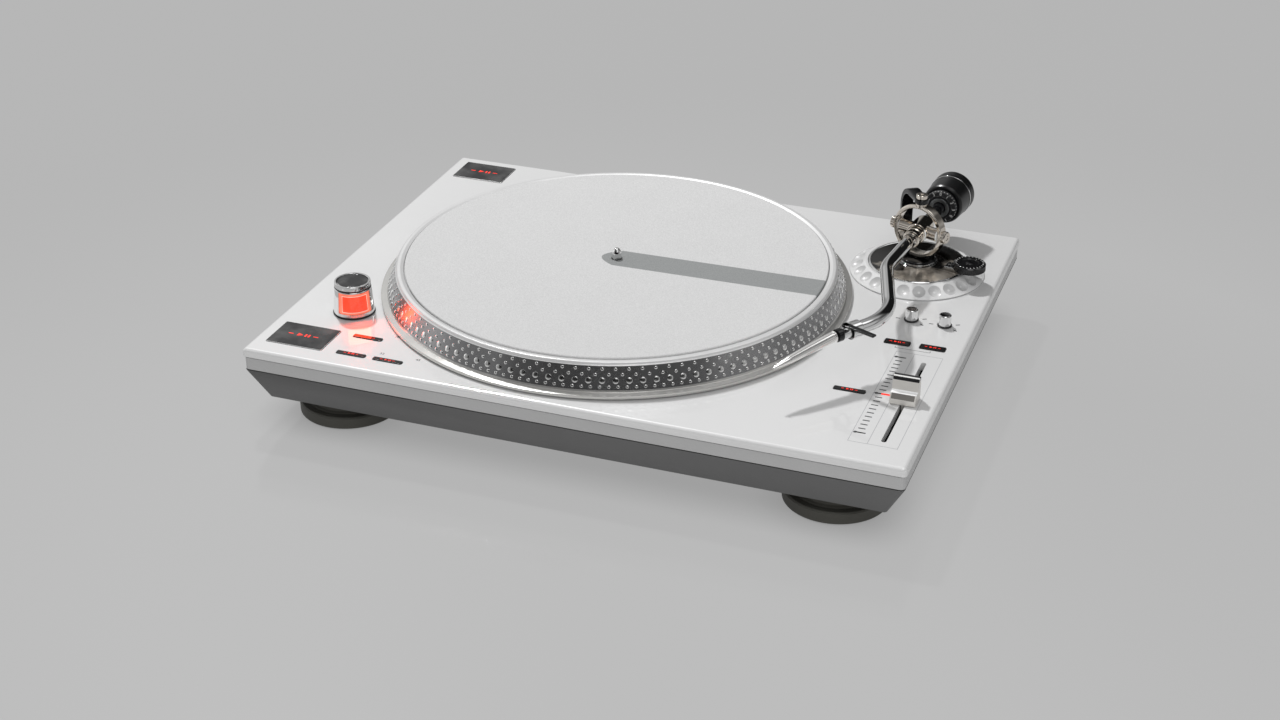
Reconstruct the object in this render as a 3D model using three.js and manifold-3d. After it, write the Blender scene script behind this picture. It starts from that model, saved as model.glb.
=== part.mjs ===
// A direct drive turntable with an S shaped arm, built as separate pieces.
// Millimetres. +X to the right, +Y to the back, +Z up. The origin lies on the
// surface that the feet stand on, under the middle of the deck.

import * as THREE from 'three';
import { mergeVertices } from 'three/addons/utils/BufferGeometryUtils.js';
import { ConvexGeometry } from 'three/addons/geometries/ConvexGeometry.js';
import Module from 'manifold-3d';

const wasm = await Module();
wasm.setup();

// Clearances
const gap = 0.3;
const overrun = 2;
const weld = 0.0005;

// Facets round a turned piece, a corner or a bend
const fineCount = 64;
const broadCount = 40;
const roundCount = 28;
const collarCount = 20;
const smallCount = 16;
const boreCount = 14;
const screwCount = 10;
const wedgeCount = 8;
const cornerCount = 4;
const pocketCount = 2;

// Feet
const footHeight = 19;
const footRadius = 34.9;
const footDisc = 9.5;
const footChamfer = 1;
const footNeck = 27;
const footStud = 4;
const footStudReach = 11;
const footBoss = 9;
const footBossCap = 2.5;
const footSide = 54.7;
const footFront = 46.3;

// Margins of the deck round the platter and the arm
const lipRadius = 167;
const leftMargin = 37;
const frontMargin = 8.25;
const rearMargin = 13.75;
const armMargin = 10.7;
const armRear = 84;
const armClear = 2.3824;
const ringOuter = 48.3;

// Deck and case
const deckThickness = 6.5;
const deckCorner = 9;
const deckEdge = 4;
const deckEdgeCount = 3;
const bandHeight = 9.5;
const bandInset = 0.8;
const bandWall = 6;
const tubHeight = 22.7;
const tubInsetX = 12;
const tubInsetY = 8.5;
const tubWall = 4;
const tubFloor = 3;
const caseScrewPitch = 150;
const caseScrewEdge = 17;
const caseScrewPost = 5.5;
const caseScrewShank = 1.8;
const caseScrewHead = 3.6;
const caseScrewHeadHeight = 2;
const caseScrewSink = 3;
const caseScrewGrip = 6.5;

// The arm's pivot lies where its ring just clears the platter's lip
const pivotReach = lipRadius + armClear + ringOuter;
const pivotBack = lipRadius + rearMargin - armRear;
const pivotSide = Math.sqrt(pivotReach ** 2 - pivotBack ** 2);
const deckWidth = leftMargin + lipRadius + pivotSide + ringOuter + armMargin;
const deckDepth = frontMargin + 2 * lipRadius + rearMargin;
const deckHeight = footHeight + tubHeight + gap + bandHeight + deckThickness;
const rightEdge = deckWidth / 2;
const leftEdge = -rightEdge;
const rearEdge = deckDepth / 2;
const frontEdge = -rearEdge;
const platterX = leftEdge + leftMargin + lipRadius;
const platterY = rearEdge - rearMargin - lipRadius;
const armX = platterX + pivotSide;
const armY = platterY + pivotBack;

// Platter, mat and spindle
const platterClear = 1;
const lipThickness = 2.2;
const lipWidth = 4.6;
const bandLowHeight = 5.2;
const bandLean = 6.2;
const bandHighHeight = 19.8;
const rimLean = 1.4;
const rimRise = 2;
const rimWidth = 5.2;
const rimSkirtWall = 7;
const rimStep = 0.4;
const webThickness = 4;
const hubRadius = 13;
const hubBottom = 6;
const matThickness = 2.2;
const spindleRadius = 3.3;
const spindleHeight = 30;
const spindleTaper = 2.4;
const spindleTip = 1.2;
const spindleShoulder = 12;
const shoulderThickness = 3;
const bearingRadius = 8;
const bearingFlangeWidth = 6;
const bearingFlangeThickness = 2;
const bearingDepth = 25;
const bandLowRadius = lipRadius - lipWidth;
const bandHighRadius = bandLowRadius - bandLean;
const rimTopRadius = bandHighRadius - rimLean;
const rimTopHeight = bandHighHeight + rimRise;
const matRadius = rimTopRadius - rimWidth;
const rimInnerRadius = matRadius - rimStep;
const bearingFlange = bearingRadius + bearingFlangeWidth;

// Motor under the platter
const magnetOuter = 58;
const magnetWall = 8.4;
const magnetReach = 3.5;
const motorClear = 12;
const motorPlateLap = 6;
const motorPlateThickness = 2.4;
const airGap = 3.6;
const statorClear = 2;
const statorCoreWall = 10;
const statorFootWall = 4;
const statorLow = -2;
const statorHigh = 5.6;
const toothCount = 9;
const toothWidth = 7;
const toothWeb = 4;
const coilWall = 3;
const coilReach = 12;
const coilTall = 7;
const motorOpening = magnetOuter + motorClear;
const magnetInner = magnetOuter - magnetWall;
const statorInner = bearingFlange + statorClear;
const statorCore = statorInner + statorCoreWall;
const statorFoot = statorInner + statorFootWall;
const statorOuter = magnetInner - airGap;

// Strobe tower with the power dial on top, beside the platter
const strobeDirectionDeg = 212.237;
const strobeClear = 4.74;
const strobeBase = 14.2;
const strobeTop = 12.5;
const strobeHeight = 24;
const strobeWall = 1.6;
const strobeSeat = 3.6;
const gasketLap = 0.5;
const gasketThickness = 0.8;
const dialRim = 1.7;
const dialThickness = 2.2;
const dialSink = 0.5;
const dialShaft = 2.4;
const towerRoof = 1.6;
const windowTurnDeg = -42;
const windowSpanDeg = 88;
const windowLow = 6;
const windowHigh = 18;
const lampRoom = 5.9;
const lampThickness = 1.6;
const lampTall = 17;
const ledSize = 2.6;
const ledReach = 1;
const ledCount = 3;
const powerSwitchSize = 20;
const powerSwitchHeight = 12;
const powerBushing = 4.6;
const gasketRadius = strobeBase + gasketLap;
const strobeHole = strobeBase - strobeSeat;
const gasketInner = strobeHole + 2 * gasketLap;
const dialRadius = strobeTop - dialRim;
const lampInner = strobeTop - lampRoom;
const strobeReach = lipRadius + strobeClear + gasketRadius;
const strobeX = platterX + strobeReach * Math.cos(THREE.MathUtils.degToRad(strobeDirectionDeg));
const strobeY = platterY + strobeReach * Math.sin(THREE.MathUtils.degToRad(strobeDirectionDeg));

// Start and stop plates
const startWidth = 42;
const startDepth = 30;
const startSide = 10;
const startFront = 15.5;
const startRear = 9.8;
const startX = leftEdge + startSide + startWidth / 2;
const startFrontY = frontEdge + startFront + startDepth / 2;
const startRearY = rearEdge - startRear - startDepth / 2;

// Fader slot, buttons and knobs down the right side
const faderSide = 21.7;
const slotFront = 27.5;
const slotRoom = 21.9;
const quartzWidth = 17.5;
const quartzDepth = 6.4;
const quartzAhead = 112.7;
const resetSide = 12.45;
const resetRoom = 6.8;
const knobAhead = 77;
const brakeAhead = 77.8;
const brakeSide = 21;
const knobPitch = 23.5;
const rangeWidth = 21.1;
const rangeDepth = 4.4;
const rangeSide = 37;
const rangeBack = 2.1;
const resetX = rightEdge - resetSide - quartzWidth / 2;
const quartzX = resetX - quartzWidth - resetRoom;
const quartzY = armY - quartzAhead;
const slotBackY = quartzY - slotRoom;
const slotFrontY = frontEdge + slotFront;
const slotLength = slotBackY - slotFrontY;
const faderX = rightEdge - faderSide;
const faderY = (slotBackY + slotFrontY) / 2;
const brakeX = rightEdge - brakeSide;
const knobs = [
  { name: 'start_knob', x: brakeX - knobPitch, y: armY - knobAhead },
  { name: 'brake_knob', x: brakeX, y: armY - brakeAhead },
];

// Slim buttons, each a width, a depth and a place on the deck
const speedWidth = 21.3;
const speedDepth = 3.9;
const speedSide = 73.4;
const speedFront = 18;
const speedRoom = 5.8;
const speedBack = 21;
const speedX = leftEdge + speedSide;
const speedY = frontEdge + speedFront;
const buttonRise = 0.6;
const buttonTravel = 0.6;
const flangeWidth = 1.3;
const flangeThickness = 1.4;
const pocketCorner = 1.2;
const slim = { width: speedWidth, depth: speedDepth };
const broad = { width: quartzWidth, depth: quartzDepth };
const narrow = { width: rangeWidth, depth: rangeDepth };
const buttons = [
  { name: 'speed_button_low', ...slim, x: speedX, y: speedY },
  { name: 'speed_button_mid', ...slim, x: speedX + speedWidth + speedRoom, y: speedY },
  { name: 'speed_button_high', ...slim, x: speedX, y: speedY + speedDepth + speedBack },
  { name: 'quartz_button', ...broad, x: quartzX, y: quartzY },
  { name: 'reset_button', ...broad, x: resetX, y: quartzY },
  { name: 'range_button', ...narrow, x: faderX - rangeSide, y: faderY + rangeBack },
];
const boardThickness = 1.6;
const boardDrop = 7.5;
const boardPost = 2.2;
const switchSize = 5.6;

// Pitch fader
const slotWidth = 3.3;
const faderWidth = 17.2;
const faderDepth = 14;
const faderTall = 16.4;
const faderStep = 7.6;
const faderNose = 4.3;
const stepFrontShare = 0.18;
const stepBackShare = 0.38;
const gripFrontShare = 0.58;
const gripBackShare = 0.94;
const stemWidth = 2.4;
const stemDepth = 8;
const stemReach = 9;
const trackWidth = 16.6;
const trackOverhang = 7.5;
const trackHeight = 13;
const trackWall = 3;

// Start and brake knobs
const knobRadius = 4.3;
const knobSkirt = 0.8;
const knobBaseHeight = 0.8;
const knobHeight = 8.8;
const knobChamfer = 0.4;
const knobShaft = 2;
const potSize = 13;
const potHeight = 11;
const potBushing = 3.1;

// Arm base with its height ring
const armRestDeg = -6.08;
const ringSlope = 10.7;
const ringRim = 2.3;
const ringHeight = 7.9;
const ringEdge = 0.7;
const basePlateLow = 4.9;
const basePlateRim = 7.6;
const basePlateTop = 9.4;
const basePlateFlat = 14;
const basePlateChamfer = 0.6;
const columnInset = 5.3;
const columnWall = 4;
const columnReach = 20;
const guideWall = 4;
const guideHeight = 15;
const guideInset = 2.3;
const guideFlangeThickness = 2.4;
const ringLip = ringOuter - ringSlope;
const basePlateRadius = ringLip - ringRim;
const columnRadius = basePlateRadius - columnInset;
const guideFlange = ringOuter - guideInset;

// Anti-skate dial on its bracket
const skateTurnDeg = -10.2;
const skateOverhang = 4.3;
const skateRadius = 11.5;
const skateThickness = 5;
const bracketWidth = 9;
const bracketThickness = 2.3;
const bracketLength = 17.6;
const bracketRise = 8.9;
const skatePost = 2.6;
const skatePostHeight = 3.8;
const skateReach = basePlateRadius + skateOverhang;

// Arm bearings
const gimbalOuter = 20;
const gimbalWall = 3;
const gimbalWidth = 7;
const gimbalClear = 0.8;
const yokeDeg = 122;
const yokeInset = 2.8;
const yokeWall = 4;
const yokeWidth = 9;
const yokeCollar = 12.5;
const yokeFoot = 2.8;
const yokeHead = 3;
const yokeHeadClear = 1.3;
const yokeBendLow = 5.5;
const yokeBendHigh = 16.5;
const yokeBendCount = 5;
const yokeEye = 5;
const pivotPin = 1.5;
const pivotScrew = 2;
const pivotNut = 4;
const pivotNutHeight = 3;
const cupDepth = 1.9;
const sideNut = 3.6;
const sideNutLength = 5.2;
const sidePinReach = 12;
const blockRadius = 7.4;
const blockFront = 8;
const blockBack = 10;
const housingRadius = 4;
const housingClear = 0.8;
const sleeveRadius = 6.2;
const sleeveLength = 11;
const yokeReach = basePlateRadius - yokeInset;
const gimbalInner = gimbalOuter - gimbalWall;
const housingReach = gimbalInner - housingClear;
const armHeight = basePlateTop + yokeFoot + gimbalClear + gimbalOuter;

// Arm tube as straight runs and bends, from the sleeve to the head
const tubeRadius = 4.75;
const tubeSideCount = 6;
const tubeStepCount = 32;
const firstRunLength = 60;
const firstBendRadius = 44;
const firstBendDeg = 22.1;
const secondRunLength = 44.8;
const secondBendRadius = 47.9;
const secondBendDeg = -50.8;
const lastRunLength = 9;

// Head: lock collar, shell, cartridge, stylus and finger lift
const collarWall = 1.25;
const collarLength = 8;
const collarLap = 5;
const shellRadius = 4.4;
const shellLength = 14;
const bodyLength = 38;
const bodyWidth = 7;
const bodyTall = 8;
const bodyTipWidth = 5.4;
const bodyTipTall = 5.6;
const bodyFacetShare = 0.28;
const noseLength = 13;
const noseWidth = 2;
const noseTall = 1.8;
const headDipDeg = 7;
const stylusClear = 1.7;
const stylusTip = 0.5;
const stylusWidth = 1.2;
const liftLength = 25;
const liftWidth = 3.4;
const liftThickness = 1.2;
const liftRootShare = 0.42;
const liftSweepDeg = 12;
const liftPost = 2.4;
const collarRadius = tubeRadius + collarWall;
const stylusHeight = bandHighHeight + gap + matThickness + stylusClear;

// Counterweight with its force dial
const tailRadius = 4.2;
const carrierWall = 3;
const carrierLead = 6.4;
const carrierShort = 2;
const tailShort = 6;
const weightStart = 48.4;
const weightLength = 27.6;
const weightRadius = 16;
const weightTaper = 1.2;
const weightChamfer = 1;
const weightRim = 3.5;
const weightRecess = 4;
const forceDialRadius = 12;
const forceDialWidth = 5.5;
const weightEnd = weightStart + weightLength;
const weightFrontRadius = weightRadius - weightTaper;
const recessRadius = weightRadius - weightRim;
const carrierRadius = tailRadius + carrierWall;
const carrierStart = weightStart - carrierLead;
const carrierEnd = weightEnd - carrierShort;
const tailEnd = carrierEnd - tailShort;

// Heights and half sizes of the case
const deckLow = deckHeight - deckThickness;
const bandHigh = deckLow - gap;
const bandLow = deckLow - bandHeight;
const tubHigh = bandLow - gap;
const tubLow = footHeight;
const floorTop = tubLow + tubFloor;
const bandHalfX = deckWidth / 2 - bandInset;
const bandHalfY = deckDepth / 2 - bandInset;
const radians = THREE.MathUtils.degToRad;

// Boards and transformer inside the case
const mainBoardWidth = 90;
const mainBoardDepth = 120;
const mainBoardSide = 26;
const mainBoardBack = -5;
const mainBoardStand = 5;
const chipSize = 16;
const chipHeight = 2.4;
const capRadius = 5;
const capHeight = 9;
const coreWidth = 46;
const coreDepth = 40;
const coreHeight = 17;
const coreSide = 147;
const coreRear = 56;
const windingWidth = 28;
const windingLap = 5;
const windingHeight = 12;

// Pockets in the back wall, with the mains inlet and the signal sockets
const pocketDepth = 20;
const pocketWall = 3;
const pocketLow = 1;
const pocketHigh = 2.7;
const mainsPocketWidth = 50;
const mainsPocketSide = 79;
const signalPocketWidth = 68;
const signalPocketSide = 87;
const jackPitch = 20;
const groundRoom = 21;
const inletWidth = 20;
const inletRoom = 5;
const inletFlange = 3;
const inletFlangeThickness = 2;
const inletRecess = 13;
const inletBack = 5;
const inletShell = 1.6;
const inletPin = 1.2;
const inletPinPitch = 8.6;
const inletPinShare = 0.8;
const jackRoom = 2;
const jackFlangeThickness = 1.2;
const jackBarrel = 4.1;
const jackBore = 1.6;
const jackReach = 8.5;
const jackBody = 5;
const jackDepth = 10;
const groundPost = 2;
const groundNut = 4.5;
const groundNutLength = 5;
const groundNutStart = 3;
const pocketFace = rearEdge - pocketDepth;
const pocketTall = tubHigh - pocketHigh - floorTop - pocketLow;
const socketHeight = floorTop + pocketLow + pocketTall / 2;
const mainsPocket = { x: leftEdge + mainsPocketSide, width: mainsPocketWidth };
const signalPocket = { x: rightEdge - signalPocketSide, width: signalPocketWidth };
const jackPlaces = [signalPocket.x - jackPitch, signalPocket.x];
const groundX = signalPocket.x + groundRoom;
const inletTall = pocketTall - inletRoom;
const jackFlange = pocketTall / 2 - jackRoom;

// Finishes
const finish = (color, roughness, metalness) =>
  new THREE.MeshStandardMaterial({ color, roughness, metalness });
const whiteLacquer = finish('#dededc', 0.18, 0.0);
const greyPaint = finish('#77787a', 0.45, 0.0);
const darkMoulding = finish('#3f4042', 0.6, 0.0);
const footRubber = finish('#2c2d2e', 0.75, 0.0);
const chrome = finish('#d5d6d8', 0.12, 1.0);
const castAluminium = finish('#8d8f92', 0.35, 1.0);
const steel = finish('#a6a8ab', 0.35, 1.0);
const blackGloss = finish('#111214', 0.12, 0.0);
const blackLacquer = finish('#111214', 0.12, 0.3);
const blackSatin = finish('#1b1c1e', 0.4, 0.0);
const redLens = finish('#ff4a33', 0.3, 0.0);
const greyFelt = finish('#bfc0c0', 0.95, 0.0);
const boardGreen = finish('#24563a', 0.6, 0.0);
const copper = finish('#a8643a', 0.4, 1.0);
const ferrite = finish('#46484b', 0.7, 0.0);
const brass = finish('#b99a55', 0.35, 1.0);
const silverPlastic = finish('#e4e4e2', 0.25, 0.1);

// Shapes
const clean = (geometry) => {
  const bare = geometry.clone();
  bare.deleteAttribute('normal');
  bare.deleteAttribute('uv');
  const merged = mergeVertices(bare, weld);
  const place = merged.attributes.position;
  const faces = [];
  const corners = [new THREE.Vector3(), new THREE.Vector3(), new THREE.Vector3()];
  let volume = 0;
  for (let start = 0; start < merged.index.count; start += 3) {
    const face = [0, 1, 2].map((step) => merged.index.getX(start + step));
    if (new Set(face).size < 3) continue;
    face.forEach((vertex, step) => corners[step].fromBufferAttribute(place, vertex));
    volume += corners[0].dot(corners[1].clone().cross(corners[2]));
    faces.push(face);
  }
  const outward = volume > 0 ? faces : faces.map((face) => face.toReversed());
  merged.setIndex(outward.flat());
  return merged;
};

const solid = (geometry) => {
  const whole = clean(geometry);
  return new wasm.Manifold(
    new wasm.Mesh({
      numProp: 3,
      vertProperties: Float32Array.from(whole.attributes.position.array),
      triVerts: Uint32Array.from(whole.index.array),
    }),
  );
};

const shell = (body) => {
  const mesh = body.getMesh();
  const geometry = new THREE.BufferGeometry();
  geometry.setAttribute('position', new THREE.BufferAttribute(mesh.vertProperties.slice(), 3));
  geometry.setIndex(Array.from(mesh.triVerts));
  return geometry;
};

const join = (first, ...rest) =>
  shell(rest.reduce((sum, next) => sum.add(solid(next)), solid(first)));

const cut = (first, ...tools) =>
  shell(tools.reduce((rest, tool) => rest.subtract(solid(tool)), solid(first)));

const common = (first, second) => shell(solid(first).intersect(solid(second)));

// An upright drum from one height to another
const drum = (radius, low, high, count = smallCount) =>
  new THREE.CylinderGeometry(radius, radius, high - low, count)
    .rotateX(Math.PI / 2)
    .translate(0, 0, (low + high) / 2);

// A drum that lies along Y, from one place to another
const barrel = (radius, start, end, count = smallCount) =>
  new THREE.CylinderGeometry(radius, radius, end - start, count).translate(0, (start + end) / 2, 0);

const block = (width, depth, low, high, x = 0, y = 0) =>
  new THREE.BoxGeometry(width, depth, high - low).translate(x, y, (low + high) / 2);

// A turned piece from its profile of radius and height
const turned = (profile, count = roundCount) =>
  new THREE.LatheGeometry(profile.map(([radius, height]) => new THREE.Vector2(radius, height)), count)
    .rotateX(Math.PI / 2);

const closed = (profile) => [...profile, profile[0]];

const tube = (inner, outer, low, high, count = roundCount) =>
  turned(closed([[inner, low], [outer, low], [outer, high], [inner, high]]), count);

const roundedOutline = (width, depth, corner) => {
  const outline = new THREE.Shape();
  const halfX = width / 2 - corner;
  const halfY = depth / 2 - corner;
  outline.absarc(halfX, halfY, corner, 0, Math.PI / 2);
  outline.absarc(-halfX, halfY, corner, Math.PI / 2, Math.PI);
  outline.absarc(-halfX, -halfY, corner, Math.PI, Math.PI * 1.5);
  outline.absarc(halfX, -halfY, corner, Math.PI * 1.5, Math.PI * 2);
  outline.closePath();
  return outline;
};

const plate = (width, depth, corner, low, high, count = cornerCount) =>
  new THREE.ExtrudeGeometry(roundedOutline(width, depth, corner), {
    depth: high - low,
    bevelEnabled: false,
    curveSegments: count,
  }).translate(0, 0, low);

const layer = (width, depth, corner, height) =>
  roundedOutline(width, depth, corner)
    .getPoints(cornerCount)
    .map((point) => new THREE.Vector3(point.x, point.y, height));

const hull = (...layers) => new ConvexGeometry(layers.flat());

const model = new THREE.Group();

const piece = (name, geometry, material, parent = model) => {
  const mesh = new THREE.Mesh(clean(geometry), material);
  mesh.name = name;
  parent.add(mesh);
  return mesh;
};

const station = (x, y, z = 0, turn = 0, parent = model) => {
  const group = new THREE.Group();
  group.position.set(x, y, z);
  group.rotation.z = turn;
  parent.add(group);
  return group;
};

const screwPlaces = [
  ['case_screw_front_left', -caseScrewPitch / 2, frontEdge + caseScrewEdge],
  ['case_screw_front_right', caseScrewPitch / 2, frontEdge + caseScrewEdge],
  ['case_screw_rear_left', -caseScrewPitch / 2, rearEdge - caseScrewEdge],
  ['case_screw_rear_right', caseScrewPitch / 2, rearEdge - caseScrewEdge],
];
const footPlaces = [
  ['foot_front_left', leftEdge + footSide, frontEdge + footFront],
  ['foot_front_right', rightEdge - footSide, frontEdge + footFront],
  ['foot_rear_left', leftEdge + footSide, rearEdge - footFront],
  ['foot_rear_right', rightEdge - footSide, rearEdge - footFront],
];

// Deck: one lacquered plate with a rounded top edge and an opening for each part
const throughDeck = (width, depth, x, y) =>
  plate(width + 2 * gap, depth + 2 * gap, pocketCorner, deckLow - overrun, deckHeight + overrun, pocketCount)
    .translate(x, y, 0);

const deckHole = (radius, x, y, count = roundCount) =>
  drum(radius, deckLow - overrun, deckHeight + overrun, count).translate(x, y, 0);

const buildDeck = () => {
  const edgeLayers = Array.from({ length: deckEdgeCount + 1 }, (_, step) => {
    const turn = (step / deckEdgeCount) * (Math.PI / 2);
    const inset = deckEdge * (1 - Math.cos(turn));
    const height = deckHeight - deckEdge * (1 - Math.sin(turn));
    return layer(deckWidth - 2 * inset, deckDepth - 2 * inset, deckCorner - inset, height);
  });
  const slab = hull(layer(deckWidth, deckDepth, deckCorner, deckLow), ...edgeLayers);
  const guideInner = columnRadius + gap;
  const guide = turned(closed([
    [guideInner, deckLow - guideHeight],
    [guideInner + guideWall, deckLow - guideHeight],
    [guideInner + guideWall, deckLow - guideFlangeThickness],
    [guideFlange, deckLow - guideFlangeThickness],
    [guideFlange, deckLow + gap],
    [ringLip + gap, deckLow + gap],
    [ringLip + gap, deckLow],
    [guideInner, deckLow],
  ]), broadCount).translate(armX, armY, 0);
  const ringHole = drum(ringLip + 2 * gap, deckLow, deckHeight + overrun, broadCount)
    .translate(armX, armY, 0);
  const deck = cut(
    join(cut(slab, ringHole), guide),
    deckHole(motorOpening, platterX, platterY, fineCount),
    deckHole(strobeHole, strobeX, strobeY),
    throughDeck(startWidth, startDepth, startX, startFrontY),
    throughDeck(startWidth, startDepth, startX, startRearY),
    ...buttons.map((button) => throughDeck(button.width, button.depth, button.x, button.y)),
    ...knobs.map((knob) => deckHole(potBushing + gap, knob.x, knob.y, smallCount)),
    plate(slotWidth, slotLength, pocketCorner, deckLow - overrun, deckHeight + overrun, pocketCount)
      .translate(faderX, faderY, 0),
  );
  piece('top_deck', deck, whiteLacquer);
};

// Middle band: a frame with a block behind its wall for each case screw
const buildBand = () => {
  const width = 2 * bandHalfX;
  const depth = 2 * bandHalfY;
  const corner = deckCorner - bandInset;
  const postSpan = caseScrewEdge + caseScrewPost - bandInset;
  const ring = cut(
    plate(width, depth, corner, bandLow, bandHigh),
    plate(
      width - 2 * bandWall,
      depth - 2 * bandWall,
      corner - bandWall,
      bandLow - overrun,
      bandHigh + overrun,
      pocketCount,
    ),
  );
  const postY = bandHalfY - (postSpan + gap) / 2;
  const posts = screwPlaces.map(([, x, y]) =>
    block(2 * caseScrewPost, postSpan - gap, bandLow, bandHigh, x, Math.sign(y) * postY));
  const holes = screwPlaces.map(([, x, y]) =>
    drum(caseScrewShank + gap, bandLow - overrun, bandLow + caseScrewGrip + gap, screwCount)
      .translate(x, y, 0));
  piece('mid_frame', cut(join(ring, ...posts), ...holes), greyPaint);
};

// Lower tub: walls lean in to a smaller floor, with posts for the feet and the
// case screws, and two pockets in the back wall for the sockets
const buildTub = () => {
  const corner = deckCorner - bandInset;
  const outerTop = [2 * bandHalfX, 2 * bandHalfY];
  const outerLow = [outerTop[0] - 2 * tubInsetX, outerTop[1] - 2 * tubInsetY];
  const outer = hull(layer(...outerLow, corner, tubLow), layer(...outerTop, corner, tubHigh));
  const inner = hull(
    layer(outerLow[0] - 2 * tubWall, outerLow[1] - 2 * tubWall, corner - tubWall, floorTop),
    layer(outerTop[0] - 2 * tubWall, outerTop[1] - 2 * tubWall, corner - tubWall, tubHigh + gap),
  );
  const pocketBox = (pocket, wall) =>
    block(
      pocket.width + 2 * wall,
      rearEdge - pocketFace + wall + overrun,
      floorTop + (wall ? -gap : pocketLow),
      tubHigh - (wall ? 0 : pocketHigh),
      pocket.x,
      (rearEdge + pocketFace - wall + overrun) / 2,
    );
  const pockets = [mainsPocket, signalPocket];
  const screwPosts = screwPlaces.map(([, x, y]) =>
    drum(caseScrewPost, tubLow, tubHigh, screwCount).translate(x, y, 0));
  const footPosts = footPlaces.map(([, x, y]) =>
    drum(footBoss, tubLow, tubLow + footStudReach + gap + footBossCap, smallCount).translate(x, y, 0));
  const screwHoles = screwPlaces.flatMap(([, x, y]) => [
    drum(caseScrewShank + gap, tubLow - overrun, tubHigh + overrun, screwCount).translate(x, y, 0),
    drum(caseScrewHead + gap, tubLow - overrun, tubLow + caseScrewSink, screwCount).translate(x, y, 0),
  ]);
  const footHoles = footPlaces.map(([, x, y]) =>
    drum(footStud + gap, tubLow - overrun, tubLow + footStudReach + gap, smallCount).translate(x, y, 0));
  const socketHole = (radius, x) =>
    barrel(radius, pocketFace - pocketWall - overrun, pocketFace + overrun, screwCount)
      .translate(x, 0, socketHeight);
  const pocketWalls = pockets.map((pocket) => pocketBox(pocket, pocketWall));
  const walls = common(join(cut(outer, inner), ...pocketWalls, ...screwPosts, ...footPosts), outer);
  const tub = cut(
    walls,
    ...pockets.map((pocket) => pocketBox(pocket, 0)),
    ...screwHoles,
    ...footHoles,
    ...jackPlaces.map((x) => socketHole(jackBody + gap, x)),
    socketHole(groundPost + gap, groundX),
    block(
      inletWidth + 2 * gap,
      2 * (pocketWall + overrun),
      socketHeight - inletTall / 2 - gap,
      socketHeight + inletTall / 2 + gap,
      mainsPocket.x,
      pocketFace,
    ),
  );
  piece('base_tub', tub, darkMoulding);
};

const buildCaseScrews = () => {
  const headTop = tubLow + caseScrewSink - gap;
  for (const [name, x, y] of screwPlaces) {
    const screw = turned([
      [0, headTop - caseScrewHeadHeight],
      [caseScrewHead, headTop - caseScrewHeadHeight],
      [caseScrewHead, headTop],
      [caseScrewShank, headTop],
      [caseScrewShank, bandLow + caseScrewGrip],
      [0, bandLow + caseScrewGrip],
    ], screwCount);
    piece(name, screw, steel, station(x, y));
  }
};

// Feet: a broad disc under a narrower neck, with a stud that screws into the tub
const buildFeet = () => {
  const neckTop = tubLow - gap;
  for (const [name, x, y] of footPlaces) {
    const foot = turned([
      [0, 0],
      [footRadius, 0],
      [footRadius, footDisc - footChamfer],
      [footRadius - footChamfer, footDisc],
      [footNeck, footDisc],
      [footNeck, neckTop],
      [footStud, neckTop],
      [footStud, tubLow + footStudReach],
      [0, tubLow + footStudReach],
    ], roundCount);
    piece(name, foot, footRubber, station(x, y));
  }
};

// Platter, mat, spindle and the motor under them
const buildPlatter = () => {
  const place = station(platterX, platterY, deckHeight);
  const seat = bandHighHeight;
  const platter = turned(closed([
    [lipRadius, platterClear],
    [lipRadius, platterClear + lipThickness],
    [bandLowRadius, bandLowHeight - lipThickness / 2],
    [bandLowRadius, bandLowHeight],
    [bandHighRadius, bandHighHeight],
    [rimTopRadius, rimTopHeight],
    [matRadius + gap, rimTopHeight],
    [matRadius + gap, seat],
    [spindleRadius + gap, seat],
    [spindleRadius + gap, hubBottom],
    [hubRadius, hubBottom],
    [hubRadius, seat - webThickness],
    [rimInnerRadius, seat - webThickness],
    [lipRadius - rimSkirtWall - gap, platterClear],
  ]), fineCount);
  piece('platter', platter, castAluminium, place);
  const mat = tube(spindleRadius + 2 * gap, matRadius, seat + gap, seat + gap + matThickness, fineCount);
  piece('slipmat', mat, greyFelt, place);
  const magnet = tube(magnetInner, magnetOuter, -magnetReach, seat - webThickness - gap, roundCount);
  piece('rotor_magnet', magnet, ferrite, place);
  const shoulder = hubBottom - gap;
  const spindle = turned([
    [0, -bearingDepth + overrun],
    [spindleRadius, -bearingDepth + overrun],
    [spindleRadius, shoulder - shoulderThickness],
    [spindleShoulder, shoulder - shoulderThickness],
    [spindleShoulder, shoulder],
    [spindleRadius, shoulder],
    [spindleRadius, spindleHeight - spindleTaper],
    [spindleTip, spindleHeight],
    [0, spindleHeight],
  ], smallCount);
  piece('spindle', spindle, chrome, place);
};

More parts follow.
